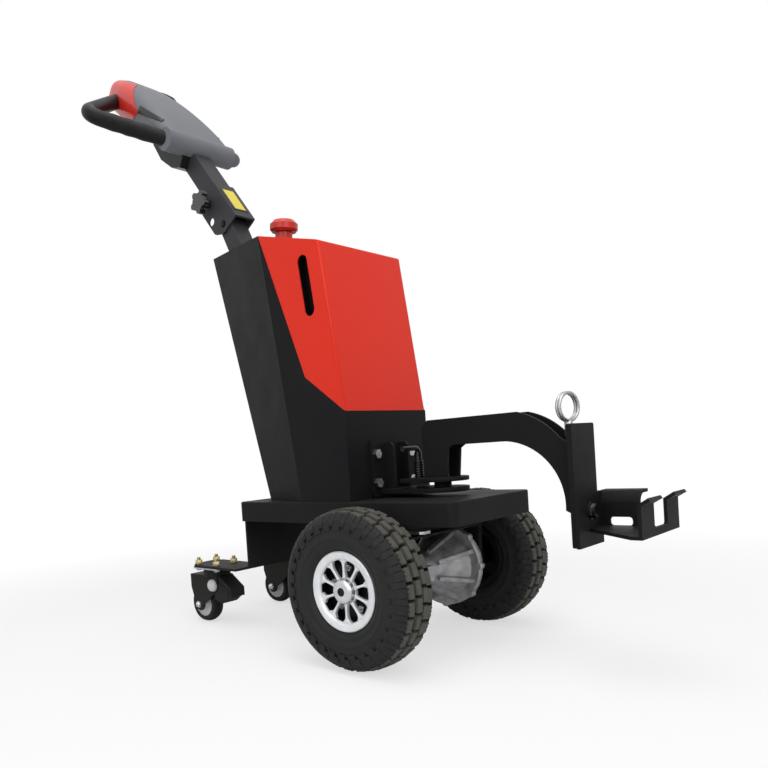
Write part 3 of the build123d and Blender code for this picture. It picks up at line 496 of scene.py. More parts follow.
# The star knob is polished nylon, with bright points on its lobes.
KNOB_NYLON = Finish("polished_nylon_black", "1c1c1d", "151516", 0.14, 1.2, 40.0, 0.01, shine=0.8)
# Dipped black vinyl on the handle loops: dark and smooth, with a soft highlight along the bar.
DIPPED_VINYL = Finish("dipped_vinyl_black", "18181a", "131314", 0.44, 2.0, 45.0, 0.02, shine=0.14)
# Vulcanised rubber of the tyre's sides: flat charcoal.
SIDE_RUBBER = Finish("tyre_rubber_side", "282828", "202020", 0.6, 1.4, 22.0, 0.06, shine=0.15)
# The tread blocks are coloured a little paler and browner than the sides.
BLOCK_RUBBER = Finish("tyre_rubber_blocks", "585751", "484742", 0.75, 1.4, 18.0, 0.08, shine=0.15)
# The base of the tread between the blocks was never touched, and it is painted darker still with the shade that
# falls between the blocks: the darkest rubber.
GROOVE_SHADE_RUBBER = Finish("tyre_rubber_grooves", "121212", "0e0e0e", 0.8, 1.4, 22.0, 0.05, shine=0.15)
# Cast polyurethane caster tread: dark grey, smoother than the tyres.
TREAD = Finish("caster_polyurethane", "1f1f20", "18181a", 0.5, 1.4, 16.0, 0.03, shine=0.15)
# Gravity-cast aluminium of the axle housing: mid grey, sandy, with darker patches.
CAST = Finish("cast_aluminium", "b6b4b5", "858385", 0.42, 1.1, 18.0, 0.12, metal=0.6)
# Bright zinc plate on bolts, caster plates and the hanger's clip: pale blue-grey metal with a soft bloom.
ZINC = Finish("zinc_plate", "c3c5c7", "9fa2a5", 0.34, 1.0, 7.0, 0.01, metal=1.0)
# Black-oxide steel of the hook's bolt and the lock plunger: dark, with hard small highlights.
OXIDE = Finish("black_oxide_steel", "3a3a3b", "2b2b2c", 0.3, 1.0, 9.0, 0.01, metal=0.9)
# Yellow-passivated zinc on the caster nuts: straw gold with greenish patches.
YELLOW_ZINC = Finish("zinc_plate_yellow", "b9ab7c", "8a7f5c", 0.4, 1.0, 5.0, 0.01, metal=0.75)
# Bright drawn wire of the drop pin and its pull ring: grey metal with a broad shine.
WIRE = Finish("drawn_wire", "b8babc", "96989b", 0.36, 1.0, 5.0, 0.01, metal=1.0)
# Polished steel of the casters' axle ends: pale, with sharp highlights.
STEEL = Finish("polished_steel", "d6d7d8", "bcbec0", 0.22, 1.0, 9.0, 0.005, metal=1.0)
# Injection-moulded grey polypropylene of the caster cores and caps: pale, even and satin.
CORE = Finish("moulded_polypropylene_grey", "c6c7c8", "b4b6b7", 0.5, 1.2, 12.0, 0.02)
# Silver lacquer on the cast rims: bright and even, with a soft metal flake.
SILVER = Finish("silver_lacquer", "e4e5e6", "d8dadb", 0.36, 1.0, 14.0, 0.02, metal=0.35)
# Printed yellow vinyl of the blank plate and the black ink of its rule: flat colour with a soft shine.
VINYL = Finish("printed_vinyl_yellow", "dcc93a", "d4be30", 0.4, 1.5, 20.0, 0.01)
INK = Finish("printed_ink_black", "26231a", "1c1a14", 0.45, 1.5, 20.0, 0.01)
# Black paint, with painted shade of their depth, in the rims' pockets; painted shade in the wheels' bores and the
# rims' insides, behind the cover's slots and on the pivot's buttons: the darkest coat, so that all of these read
# as deep.
POCKET_PAINT_AND_SHADE = Finish("pocket_paint_black", "101011", "0b0b0c", 0.4, 1.2, 15.0, 0.03, shine=0.15)
# Satin polypropylene of the battery's case: dark grey, hidden in the column.
CASE = Finish("battery_case", "2a2b2d", "232426", 0.6, 1.5, 40.0, 0.03)


class Paintbox:
    """Makes each finish once and dresses nodes and pieces with it."""

    def __init__(self) -> None:
        """Starts with no material made."""
        self.made: dict[str, bpy.types.Material] = {}

    def get(self, finish: Finish) -> bpy.types.Material:
        """Gives a finish's material, made on first use.

        Args:
            finish: The finish.

        Returns:
            Its material.
        """
        if finish.name not in self.made:
            self.made[finish.name] = finish.make()
        return self.made[finish.name]

    def dress(self, obj: Obj, finish: Finish) -> Obj:
        """Gives every slot of an object one finish.

        Args:
            obj: The node or piece.
            finish: Its finish.

        Returns:
            The same object.
        """
        material = self.get(finish)
        if not obj.material_slots:
            obj.data.materials.append(material)
        for item in obj.material_slots:
            item.material = material
        return obj


class Copies:
    """Geometry Nodes trees that repeat one part round an axle or at listed places."""

    def __init__(self) -> None:
        """Builds the two trees."""
        self.round_tree = self._round_tree()
        self.place_tree = self._place_tree()

    @staticmethod
    def _start(name: str, sockets: Sequence[tuple[str, str]]) -> tuple[Tree, bpy.types.Node]:
        """Opens a tree with its named inputs and one geometry output.

        Args:
            name: The tree's name.
            sockets: Input names with their socket types.

        Returns:
            The tree and its input node.
        """
        tree = bpy.data.node_groups.new(name, "GeometryNodeTree")
        tree.interface.new_socket("Geometry", in_out="OUTPUT", socket_type="NodeSocketGeometry")
        for label, kind in sockets:
            tree.interface.new_socket(label, in_out="INPUT", socket_type=kind)
        return tree, put(tree, "NodeGroupInput")

    @staticmethod
    def _end(tree: Tree, instances: Socket, centre: Socket | None, material: Socket) -> None:
        """Closes a tree: real meshes, moved to their centre, with their material.

        Args:
            tree: The tree.
            instances: The copies.
            centre: Where they go, or None where they are in place.
            material: Their material.
        """
        shape = put(tree, "GeometryNodeRealizeInstances", {"Geometry": instances}).outputs["Geometry"]
        if centre is not None:
            shape = put(tree, "GeometryNodeTransform", {
                "Geometry": shape, "Translation": centre}).outputs["Geometry"]
        dressed = put(tree, "GeometryNodeSetMaterial", {"Geometry": shape, "Material": material})
        put(tree, "NodeGroupOutput", {"Geometry": dressed.outputs["Geometry"]})

    def _round_tree(self) -> Tree:
        """Makes copies of a part turned about the Y axis in equal steps.

        Returns:
            The tree.
        """
        tree, given = self._start("copies_round_axle", (
            ("Part", "NodeSocketObject"), ("Count", "NodeSocketInt"), ("Centre", "NodeSocketVector"),
            ("Material", "NodeSocketMaterial")))
        line = put(tree, "GeometryNodeMeshLine", {"Count": given.outputs["Count"], "Offset": (0.0, 0.0, 0.0)})
        step = put(tree, "ShaderNodeMath", {0: 2 * math.pi, 1: given.outputs["Count"]}, operation="DIVIDE")
        number = put(tree, "GeometryNodeInputIndex")
        turn = put(tree, "ShaderNodeMath", {
            0: number.outputs["Index"], 1: step.outputs["Value"]}, operation="MULTIPLY")
        euler = put(tree, "ShaderNodeCombineXYZ", {"Y": turn.outputs["Value"]})
        part = put(tree, "GeometryNodeObjectInfo", {"Object": given.outputs["Part"]})
        spread = put(tree, "GeometryNodeInstanceOnPoints", {
            "Points": line.outputs["Mesh"], "Instance": part.outputs["Geometry"],
            "Rotation": euler.outputs["Vector"]})
        self._end(tree, spread.outputs["Instances"], given.outputs["Centre"], given.outputs["Material"])
        return tree

    def _place_tree(self) -> Tree:
        """Makes copies of a part on the points of a mesh, each turned as its point says.

        Returns:
            The tree.
        """
        tree, given = self._start("copies_at_places", (
            ("Geometry", "NodeSocketGeometry"), ("Part", "NodeSocketObject"), ("Material", "NodeSocketMaterial")))
        turn = put(tree, "GeometryNodeInputNamedAttribute", {"Name": "turn"}, data_type="FLOAT_VECTOR")
        part = put(tree, "GeometryNodeObjectInfo", {"Object": given.outputs["Part"]})
        spread = put(tree, "GeometryNodeInstanceOnPoints", {
            "Points": given.outputs["Geometry"], "Instance": part.outputs["Geometry"],
            "Rotation": turn.outputs["Attribute"]})
        self._end(tree, spread.outputs["Instances"], None, given.outputs["Material"])
        return tree

    @staticmethod
    def _run(obj: Obj, tree: Tree, values: dict[str, object], part: Obj) -> Obj:
        """Runs a tree on an object and keeps the result as a plain mesh.

        Args:
            obj: The object that carries the modifier.
            tree: The tree.
            values: Input names with their values.
            part: The repeated part, which is removed afterwards.

        Returns:
            The finished piece.
        """
        modifier = obj.modifiers.new("copies", "NODES")
        modifier.node_group = tree
        keys = {item.name: item.identifier for item in tree.interface.items_tree if item.in_out == "INPUT"}
        for label, value in {"Part": part, **values}.items():
            modifier[keys[label]] = value
        done = bake(obj)
        bpy.data.objects.remove(part, do_unlink=True)
        return done

    def round(self, name: str, part: Obj, count: int, centre: Vector, material: bpy.types.Material) -> Obj:
        """Repeats a part round the Y axis.

        Args:
            name: The piece's name.
            part: The part, drawn about the origin.
            count: How many copies.
            centre: Where the axle is.
            material: Their material.

        Returns:
            The finished piece.
        """
        base = piece(name, bpy.data.meshes.new(name))
        values = {"Count": count, "Centre": list(centre), "Material": material}
        return self._run(base, self.round_tree, values, part)

    def at(self, name: str, part: Obj, places: Sequence[tuple[Vector, Vector]],
           material: bpy.types.Material) -> Obj:
        """Repeats a part at listed places.

        Args:
            name: The piece's name.
            part: The part, drawn at the origin with its axis along z.
            places: Points with the direction that the axis takes there.
            material: Their material.

        Returns:
            The finished piece.
        """
        mesh = bpy.data.meshes.new(name)
        mesh.from_pydata([tuple(place) for place, _ in places], [], [])
        turns = mesh.attributes.new("turn", "FLOAT_VECTOR", "POINT")
        for item, (_, axis) in zip(turns.data, places):
            item.vector = UP.rotation_difference(axis).to_euler()
        return self._run(piece(name, mesh), self.place_tree, {"Material": material}, part)


@dataclass(frozen=True)
class HexHead:
    """A chamfered hexagon head on its washer, with the bolt's end above it where it is a nut.

    The radius to the corners, the height, and the radii of a bolt end and a washer, where it has them, are in
    millimetres. The other values are shares of these.
    """

    across: float
    height: float
    shank: float = 0.0
    washer: float = 0.0
    washer_t: float = 0.22
    washer_edge: tuple[float, float] = (0.96, 0.8)
    flank: float = 0.82
    chamfer: float = 0.9
    stub: Pairs = ((1.0, 0.0), (1.0, 1.1), (0.8, 1.4), (0.0, 1.4))

    def draw(self, name: str) -> Obj:
        """Draws the head for copies at listed places.

        Args:
            name: The part's name.

        Returns:
            The part, standing on the origin along z.
        """
        bm = bmesh.new()
        here = Matrix.Identity(4)
        base = 0.0
        if self.washer:
            base = self.height * self.washer_t
            edge_r, edge_z = self.washer * self.washer_edge[0], base * self.washer_edge[1]
            disc = ((0, 0), (self.washer, 0), (self.washer, edge_z), (edge_r, base), (0, base))
            lathe(bm, metres(disc), here, steps=24)
        flank, top = base + self.height * self.flank, base + self.height
        angles = [i * math.pi / 3 for i in range(6)]
        corners = metres([(self.across * math.cos(a), self.across * math.sin(a)) for a in angles])
        slab(bm, corners, base * MM, flank * MM, here)
        slab(bm, corners, flank * MM, top * MM, here, self.chamfer)
        if self.shank:
            stub = [(self.shank * r, top + self.shank * rise) for r, rise in self.stub]
            lathe(bm, metres(stub), here, steps=16)
        return from_bmesh(name, bm, smooth=25)


def bevel(obj: Obj, width: float, angle: float) -> bpy.types.Modifier:
    """Adds a rounding to the edges of an object that are sharper than an angle.

    Args:
        obj: The object.
        width: Width of the rounding in millimetres.
        angle: The angle in degrees.

    Returns:
        The modifier.
    """
    edge = obj.modifiers.new("edge", "BEVEL")
    edge.width = width * MM
    edge.segments = EDGE_STEPS
    edge.limit_method = "ANGLE"
    edge.angle_limit = math.radians(angle)
    return edge


def soften(node: Obj, width: float) -> None:
    """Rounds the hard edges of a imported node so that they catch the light.

    Args:
        node: The node's object.
        width: Width of the rounding in millimetres.
    """
    weld = node.modifiers.new("weld", "WELD")
    weld.merge_threshold = WELD_GAP
    flat = node.modifiers.new("flatten", "DECIMATE")
    flat.decimate_type = "DISSOLVE"
    flat.angle_limit = math.radians(FLAT_DEGREES)
    edge = bevel(node, width, EDGE_DEGREES)
    edge.use_clamp_overlap = True
    edge.harden_normals = True


def merged(node: Obj) -> bmesh.types.BMesh:
    """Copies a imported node's loose triangles into one joined mesh.

    Args:
        node: The node that is copied.

    Returns:
        The mesh.
    """
    bm = bmesh.new()
    bm.from_mesh(node.data)
    bmesh.ops.remove_doubles(bm, verts=bm.verts, dist=NODE_MERGE)
    return bm


def patch(name: str, node: Obj, cuts: Sequence[tuple[Vector, Vector]], thick: float) -> Obj:
    """Lifts a plate off a node's skin, which follows that skin wherever it lies inside all the cuts.

    Args:
        name: The piece's name.
        node: The node whose skin it lies on.
        cuts: Planes, each a point and the direction that is kept.
        thick: The plate's thickness in millimetres, half of it outside the skin.

    Returns:
        The closed plate.
    """
    bm = merged(node)
    for place, inward in cuts:
        bmesh.ops.bisect_plane(bm, geom=bm.verts[:] + bm.edges[:] + bm.faces[:], dist=MERGE, plane_co=place,
                               plane_no=inward, clear_inner=True)
    sheet = plain(name, bm)
    wall = sheet.modifiers.new("wall", "SOLIDIFY")
    wall.thickness = thick * MM
    wall.offset = 0.0
    solid = bake(sheet)
    closed = bmesh.new()
    closed.from_mesh(solid.data)
    bpy.data.objects.remove(solid, do_unlink=True)
    return from_bmesh(name, closed, smooth=40)


def drilled(name: str, node: Obj, place: Matrix, radius: float, reach: float) -> Obj:
    """Copies a node with one more round hole through it.

    Args:
        name: The piece's name.
        node: The node that is copied.
        place: The hole's middle, with its axis along z.
        radius: The hole's radius in millimetres.
        reach: How far the drill goes to each side, in millimetres.

    Returns:
        The drilled copy.
    """
    bm = merged(node)
    bmesh.ops.dissolve_limit(bm, angle_limit=math.radians(FLAT_DEGREES), verts=bm.verts, edges=bm.edges)
    copy = plain(name, bm)
    line = ((0, -reach), (radius, -reach), (radius, reach), (0, reach))
    drill = turned(name + "_drill", line, place, steps=40)
    cut = copy.modifiers.new("hole", "BOOLEAN")
    cut.operation = "DIFFERENCE"
    cut.solver = "EXACT"
    cut.object = drill
    done = bake(copy)
    bpy.data.objects.remove(drill, do_unlink=True)
    return done


# sub-assemblies


@dataclass(frozen=True)
class BlockRow:
    """A row of tread blocks: its inner and outer edge across the tread, its top, its turn and its outer outline.

    The turn is a share of a tread pitch. The outline runs from -1 to 1 round the tyre, with its depth.
    """

    near: float
    far: float
    top: float
    turn: float
    edge: Pairs


@dataclass(frozen=True)
class Lug:
    """A shoulder lug: its turn and half width as shares of a tread pitch, and the radius of its foot."""

    turn: float
    half: float
    foot: float


@dataclass
class DriveWheels:
    """The two block-tread tyres on their cast rims.

    Profiles are pairs of radius and distance from the wheel's middle. Shares are parts of a tread pitch.
    """

    casing: Pairs = (
        (64.4, 30.2), (69.0, 34.8), (72.0, 36.5), (72.8, 37.6), (74.4, 38.0), (75.2, 37.6), (80.0, 39.6),
        (84.0, 40.7), (84.8, 41.5), (86.4, 41.7), (87.2, 41.2), (93.0, 41.6), (100.0, 40.8), (106.0, 38.6),
        (111.0, 35.0), (115.5, 29.5), (119.0, 22.0), (121.3, 12.0), (122.0, 0.0))
    seat: tuple[float, float] = (56.3, 30.0)
    groove_shade_from: float = 111.0
    pitches: int = 30
    crown_r: float = 128.0
    far_turn: float = 0.5
    block_share: float = 0.395
    block_foot: float = 114.0
    block_edge: float = 0.9
    block_taper: float = 0.93
    rows: Sequence[BlockRow] = (
        BlockRow(1.8, 12.4, 130.0, 0.0, ((-1.0, 0.0), (1.0, 0.0))),
        BlockRow(16.2, 28.4, 126.8, 0.16, ((-1.0, 2.4), (-0.72, 0.0), (-0.4, 1.8), (-0.1, 0.0), (0.22, 1.8),
                                           (0.55, 0.0), (1.0, 2.4))))
    lug_r: float = 118.0
    lugs: Sequence[Lug] = (Lug(0.16, 0.28, 98.0), Lug(0.66, 0.19, 105.0))
    lug_line: Pairs = ((30.2, 108.0), (30.4, 124.2), (34.6, 121.8), (39.6, 114.8))
    lug_skirt: Pairs = ((42.3, 6.0), (42.4, 0.0), (38.0, 0.0))
    lip: Pairs = ((56.1, 29.0), (64.0, 30.2), (64.2, 32.6), (62.6, 34.0), (55.0, 33.6), (51.6, 32.0),
                  (50.0, 29.0), (50.0, 27.0))
    hub: Pairs = ((10.2, -18.0), (22.0, -18.0), (22.0, 21.0), (20.6, 24.6), (18.0, 25.9), (10.2, 25.9),
                  (10.2, -18.0))
    silver_from: float = 5.0
    spokes: int = 10
    flare: Pairs = ((20.5, 3.8), (22.5, 2.9), (27.0, 2.1), (34.0, 1.9), (40.0, 2.1), (44.0, 2.9), (46.6, 4.6),
                    (48.6, 7.2), (50.8, 12.2))
    spoke_span: tuple[float, float] = (21.0, 28.0)
    spoke_edge: float = 0.9
    pocket: Pairs = ((20.0, 9.0), (20.0, 11.0), (51.6, 11.0), (51.6, 9.0), (20.0, 9.0))
    rim_bolts: int = 5
    bolt_circle: float = 35.0
    bolt_turn: float = 0.25
    bolt_out: float = 10.8
    bolt_head: HexHead = HexHead(5.8, 5.0, shank=3.0)
    bore: Pairs = ((0.0, 0.1), (4.4, 0.1), (5.5, 0.6), (6.875, 0.3), (6.875, -0.5))

    def build(self, side: Side, paint: Paintbox, copies: Copies) -> list[Obj]:
        """Builds one wheel: the tyre with its tread, the rim with spokes, pockets and bolts, and a dark disc of
        painted shade for the hub's bore.

        Args:
            side: Which wheel.
            paint: Where the finishes come from.
            copies: The repeating trees.

        Returns:
            The pieces.
        """
        tag = side.tag
        centre = middle("tyre_" + tag)
        out = Vector((0, side.value, 0))
        along = frame_at(centre, (1, 0, 0), out)
        casing = self._casing(side, along, paint)
        crown = copies.round("tread_crown_" + tag, self._crown(), self.pitches, centre, paint.get(BLOCK_RUBBER))
        lugs = copies.round("tread_lugs_" + tag, self._shoulder(), self.pitches, centre, paint.get(SIDE_RUBBER))
        for poly in [*crown.data.polygons, *lugs.data.polygons]:
            poly.use_smooth = False
        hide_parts("tyre_" + tag)
        rim = self._rim(side, along, paint)
        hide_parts("rim_" + tag)
        spokes = copies.round("rim_spokes_" + tag, self._spoke(side), self.spokes, centre, paint.get(SILVER))
        # A black disc behind the spokes fills the pockets: black paint together with painted shade of the pockets'
        # depth.
        pockets = paint.dress(turned("rim_pockets_" + tag, self.pocket, along, steps=48), POCKET_PAINT_AND_SHADE)
        places = []
        for i in range(self.rim_bolts):
            angle = 2 * math.pi * (i + self.bolt_turn) / self.rim_bolts
            reach = Vector((math.cos(angle), math.sin(angle), 0)) * self.bolt_circle
            places.append((along @ ((reach + UP * self.bolt_out) * MM), out))
        bolts = copies.at("rim_bolts_" + tag, self.bolt_head.draw("rim_bolt"), places, paint.get(ZINC))
        # A dark disc on the axle's end stands for the hub's bore: painted shade.
        low, high = corners_of("axle_shaft_" + tag)
        end = Vector((centre.x, high.y if side is Side.FAR else low.y, centre.z))
        bore = turned("hub_bore_" + tag, self.bore, frame_at(end, (1, 0, 0), out), steps=32)
        paint.dress(bore, POCKET_PAINT_AND_SHADE)
        return mount(((casing, "tyre"), (crown, "tyre"), (lugs, "tyre"), (rim, "alloy"), (spokes, "alloy"),
                      (pockets, "black_paint"), (bolts, "zinc"), (bore, "black_paint")), "drive_wheel_" + tag)

    def _casing(self, side: Side, place: Matrix, paint: Paintbox) -> Obj:
        """Turns the tyre's casing: bead, bulged sides with raised rings, and the base of the tread, unworn and
        painted dark with shade.

        Args:
            side: Which wheel.
            place: The wheel's middle, with its axle along z.
            paint: Where the finishes come from.

        Returns:
            The casing.
        """
        half, (seat_r, seat_w) = list(self.casing), self.seat
        line = half + [(r, -v) for r, v in half[-2::-1]] + [(seat_r, -seat_w), (seat_r, seat_w), half[0]]
        casing = turned("tyre_casing_" + side.tag, line, place, steps=96, smooth=50)
        for finish in (SIDE_RUBBER, GROOVE_SHADE_RUBBER):
            casing.data.materials.append(paint.get(finish))
        axle = middle("tyre_" + side.tag)
        # Faces out past the groove radius take the tread base's rubber, unworn and partly painted shade.
        for poly in casing.data.polygons:
            reach = Vector((poly.center.x - axle.x, poly.center.z - axle.z)).length
            poly.material_index = 1 if reach > self.groove_shade_from * MM else 0
        return casing

    def _rim(self, side: Side, place: Matrix, paint: Paintbox) -> Obj:
        """Turns the rim's barrel with its two broad lips, and the hub: silver outside, and black within as painted
        shade.

        Args:
            side: Which wheel.
            place: The wheel's middle, with its axle along z.
            paint: Where the finishes come from.

        Returns:
            The rim without its spokes.
        """
        lip = list(self.lip)
        ring = lip + [(r, -v) for r, v in lip[::-1]] + lip[:1]
        bm = bmesh.new()
        for profile in (ring, self.hub):
            lathe(bm, metres(profile), place, steps=96)
        rim = paint.dress(from_bmesh("rim_barrel_" + side.tag, bm, smooth=40), SILVER)
        rim.data.materials.append(paint.get(POCKET_PAINT_AND_SHADE))
        # Faces behind the rim's silver face take the black: painted shade inside the barrel and the hub.
        wheel_y = place.translation.y
        for poly in rim.data.polygons:
            poly.material_index = 1 if (poly.center.y - wheel_y) * side.value < self.silver_from * MM else 0
        return rim

    def _spoke(self, side: Side) -> Obj:
        """Draws one slim spoke that flares into the lip, so that the gaps between spokes are petals.

        Args:
            side: Which wheel.

        Returns:
            The part, for copies round the axle.
        """
        outline = [*self.flare, *((r, -t) for r, t in self.flare[::-1])]
        place = frame_at((0, 0, 0), (0, 0, 1), (0, side.value, 0))
        part = raised("rim_spoke", outline, *self.spoke_span, place, smooth=30)
        bevel(part, self.spoke_edge, angle=50)
        return part

    def _crown(self) -> Obj:
        """Draws one pitch of the crown about the Y axis: two rows of blocks to each side, the outer ones toothed.

        Returns:
            The part, for copies round the axle.
        """
        bm = bmesh.new()
        step = 2 * math.pi / self.pitches
        half = self.block_share * step * self.crown_r
        for row in self.rows:
            flank = row.top - self.block_edge
            outline = [(-half, row.near), *((u * half, row.far - v) for u, v in row.edge), (half, row.near)]
            for face in Side:
                turn = Matrix.Rotation((row.turn + self.far_turn * (face is Side.FAR)) * step, 4, "Y")
                corners = metres([(u, face.value * v) for u, v in outline])
                slab(bm, corners, self.block_foot * MM, flank * MM, turn)
                slab(bm, corners, flank * MM, row.top * MM, turn, self.block_taper)
        return from_bmesh("tread_crown_pitch", bm, smooth=20)

    def _shoulder(self) -> Obj:
        """Draws one pitch of the shoulders about the Y axis: a long and a short lug to each side.

        Returns:
            The part, for copies round the axle.
        """
        bm = bmesh.new()
        step = 2 * math.pi / self.pitches
        across = frame_at((0, 0, 0), (0, 1, 0), (1, 0, 0))
        for face in Side:
            for lug in self.lugs:
                outline = [*self.lug_line, *((y, lug.foot + rise) for y, rise in self.lug_skirt)]
                turn = Matrix.Rotation((lug.turn + self.far_turn * (face is Side.FAR)) * step, 4, "Y") @ across
                reach = lug.half * step * self.lug_r * MM
                slab(bm, metres([(face.value * y, r) for y, r in outline]), -reach, reach, turn)
        return from_bmesh("tread_lug_pitch", bm, smooth=20)


@dataclass
class Casters:
    """The bolts, caps, aprons and axle ends of the two swivel casters."""

    spread: tuple[float, float] = (30.0, 24.0)
    tab_t: float = 5.0
    nut: HexHead = HexHead(7.5, 7.0, shank=4.0, washer=8.5)
    bolt_head: HexHead = HexHead(7.2, 4.6)
    cheek: float = 22.5
    cap_at: tuple[float, float] = (11.0, 85.0)
    cap: Pairs = ((0.0, -1.0), (13.0, -1.0), (13.0, 2.0), (12.09, 5.0), (9.1, 8.0), (4.68, 9.6), (0.0, 10.0))
    acorn: Pairs = ((0.0, -1.0), (6.4, -1.0), (6.4, 1.0), (5.6, 3.0), (3.4, 4.6), (0.0, 5.2))
    king_pin_x: float = -463.0
    apron: Pairs = ((11.0, 97.0), (55.0, 79.0), (58.0, 63.0), (36.0, 48.0), (11.0, 54.0))
    apron_half: float = 20.0

    def build(self, side: Side, paint: Paintbox, copies: Copies) -> list[Obj]:
        """Builds one caster's nuts, bolt heads, cheek cap, axle ends and apron.

        Args:
            side: Which caster.
            paint: Where the finishes come from.
            copies: The repeating trees.

        Returns:
            The pieces.
        """
        tag = side.tag
        plate_low, plate_high = corners_of("caster_plate_" + tag)
        hub = (plate_low + plate_high) / 2
        holes = [Vector((hub.x + i * self.spread[0] * MM, hub.y + j * self.spread[1] * MM, 0))
                 for i in (-1, 1) for j in (-1, 1)]
        tops = [(hole + UP * (plate_high.z + self.tab_t * MM), UP) for hole in holes]
        nuts = copies.at("caster_nuts_" + tag, self.nut.draw("caster_nut"), tops, paint.get(YELLOW_ZINC))
        feet = [(hole + UP * plate_low.z, -UP) for hole in holes]
        heads = copies.at("caster_heads_" + tag, self.bolt_head.draw("caster_head"), feet, paint.get(ZINC))
        ahead, height = self.cap_at
        cheek = (hub.x + ahead * MM, hub.y + side.value * self.cheek * MM, height * MM)
        outward = frame_at(cheek, (1, 0, 0), (0, side.value, 0))
        cap = turned("caster_cap_" + tag, self.cap, outward, steps=40, smooth=50)
        paint.dress(cap, CORE)
        bolt_low, bolt_high = corners_of("caster_bolt_" + tag)
        pin = (bolt_low + bolt_high) / 2
        ends = [(Vector((pin.x, end.y, pin.z)), Vector((0, way, 0)))
                for end, way in ((bolt_low, -1), (bolt_high, 1))]
        acorn = turned("axle_acorn", self.acorn, Matrix.Identity(4), steps=28, smooth=50)
        domes = copies.at("caster_axle_ends_" + tag, acorn, ends, paint.get(STEEL))
        outline = [(x + self.king_pin_x, z) for x, z in self.apron]
        place = frame_at(spot(0, hub.y / MM, 0), (1, 0, 0), (0, -1, 0))
        apron = raised("caster_apron_" + tag, outline, -self.apron_half, self.apron_half, place)
        paint.dress(apron, POWDER_LOW)
        fixed = mount(((nuts, "yellow"), (heads, "zinc")), "chassis")
        turning = ((cap, "light_grey"), (domes, "zinc"), (apron, "black_paint"))
        return fixed + mount(turning, "caster_swivel_" + tag)


@dataclass
class TowGear:
    """Fasteners, welds and the pull ring of the swinging tow arm and its hitch."""

    hitch_x: float = 291.0
    weld_y: float = 22.5
    weld_run: tuple[int, int, int] = (262, 364, 4)
    ripple: Pairs = ((0.0, -2.6), (1.82, -1.95), (2.6, 0.0), (1.82, 1.95), (0.0, 2.6))
    bolt_at: tuple[float, float] = (5.0, 238.0)
    bolt_head: HexHead = HexHead(11.0, 7.0, washer=13.0)
    pin_r: float = 6.0
    pin_top: float = 375.0
    pin_chamfer: tuple[float, float] = (1.4, 2.0)
    collar_r: float = 11.0
    collar_z: tuple[float, float] = (335.0, 341.0)
    ring_r: float = 21.0
    ring_down: float = 23.5
    ring_turns: tuple[float, float] = (-2.3, 2.3)
    ring_way: Point = (0.25, 0.968, 0.0)
    wire_r: float = 2.5
    wire_points: int = 20

    def build(self, paint: Paintbox, copies: Copies) -> list[Obj]:
        """Builds the weld beads behind the hitch plate, the bolt through the hook bracket and the pull ring.

        Args:
            paint: Where the finishes come from.
            copies: The repeating trees.

        Returns:
            The pieces.
        """
        ripple = turned("weld_ripple", self.ripple, Matrix.Identity(4), steps=12, smooth=60)
        run = [(spot(self.hitch_x, side.value * self.weld_y, z), UP)
               for side in Side for z in range(*self.weld_run)]
        beads = copies.at("hitch_welds", ripple, run, paint.get(POWDER))
        bracket, _ = corners_of("hook_bracket")
        ahead, height = self.bolt_at
        bolt_at = Vector((bracket.x + ahead * MM, 0, height * MM))
        bolt = copies.at("hook_bolt", self.bolt_head.draw("hook_bolt_head"), [(bolt_at, Vector((1, 0, 0)))],
                         paint.get(OXIDE))
        return mount(((beads, "black_paint"), (bolt, "steel"), (self._pull_ring(paint), "steel")), "tow_arm")

    def _pull_ring(self, paint: Paintbox) -> Obj:
        """Turns the drop pin with its collar and its two-turn split ring, set as in the photograph.

        Args:
            paint: Where the finishes come from.

        Returns:
            The pin and ring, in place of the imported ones.
        """
        low, high = corners_of("drop_pin")
        axis = Vector(((low.x + high.x) / 2, 0, 0))
        foot, top = low.z / MM, self.pin_top
        under, over = self.collar_z
        inward, down = self.pin_chamfer
        pin = ((0, foot), (self.pin_r, foot), (self.pin_r, under), (self.collar_r, under), (self.collar_r, over),
               (self.pin_r, over), (self.pin_r, top - down), (self.pin_r - inward, top), (0, top))
        bm = bmesh.new()
        lathe(bm, metres(pin), Matrix.Translation(axis), steps=32)
        heart = axis + UP * (high.z - self.ring_down * MM)
        place = frame_at(heart, self.ring_way, Vector(self.ring_way).cross(UP))
        angles = [2 * math.pi * i / self.wire_points for i in range(self.wire_points + 1)]
        for offset in self.ring_turns:
            wire = [(self.ring_r + self.wire_r * math.cos(a), offset + self.wire_r * math.sin(a)) for a in angles]
            lathe(bm, metres(wire), place, steps=56)
        ring = paint.dress(from_bmesh("pull_ring", bm, smooth=60), WIRE)
        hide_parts("drop_pin")
        return ring


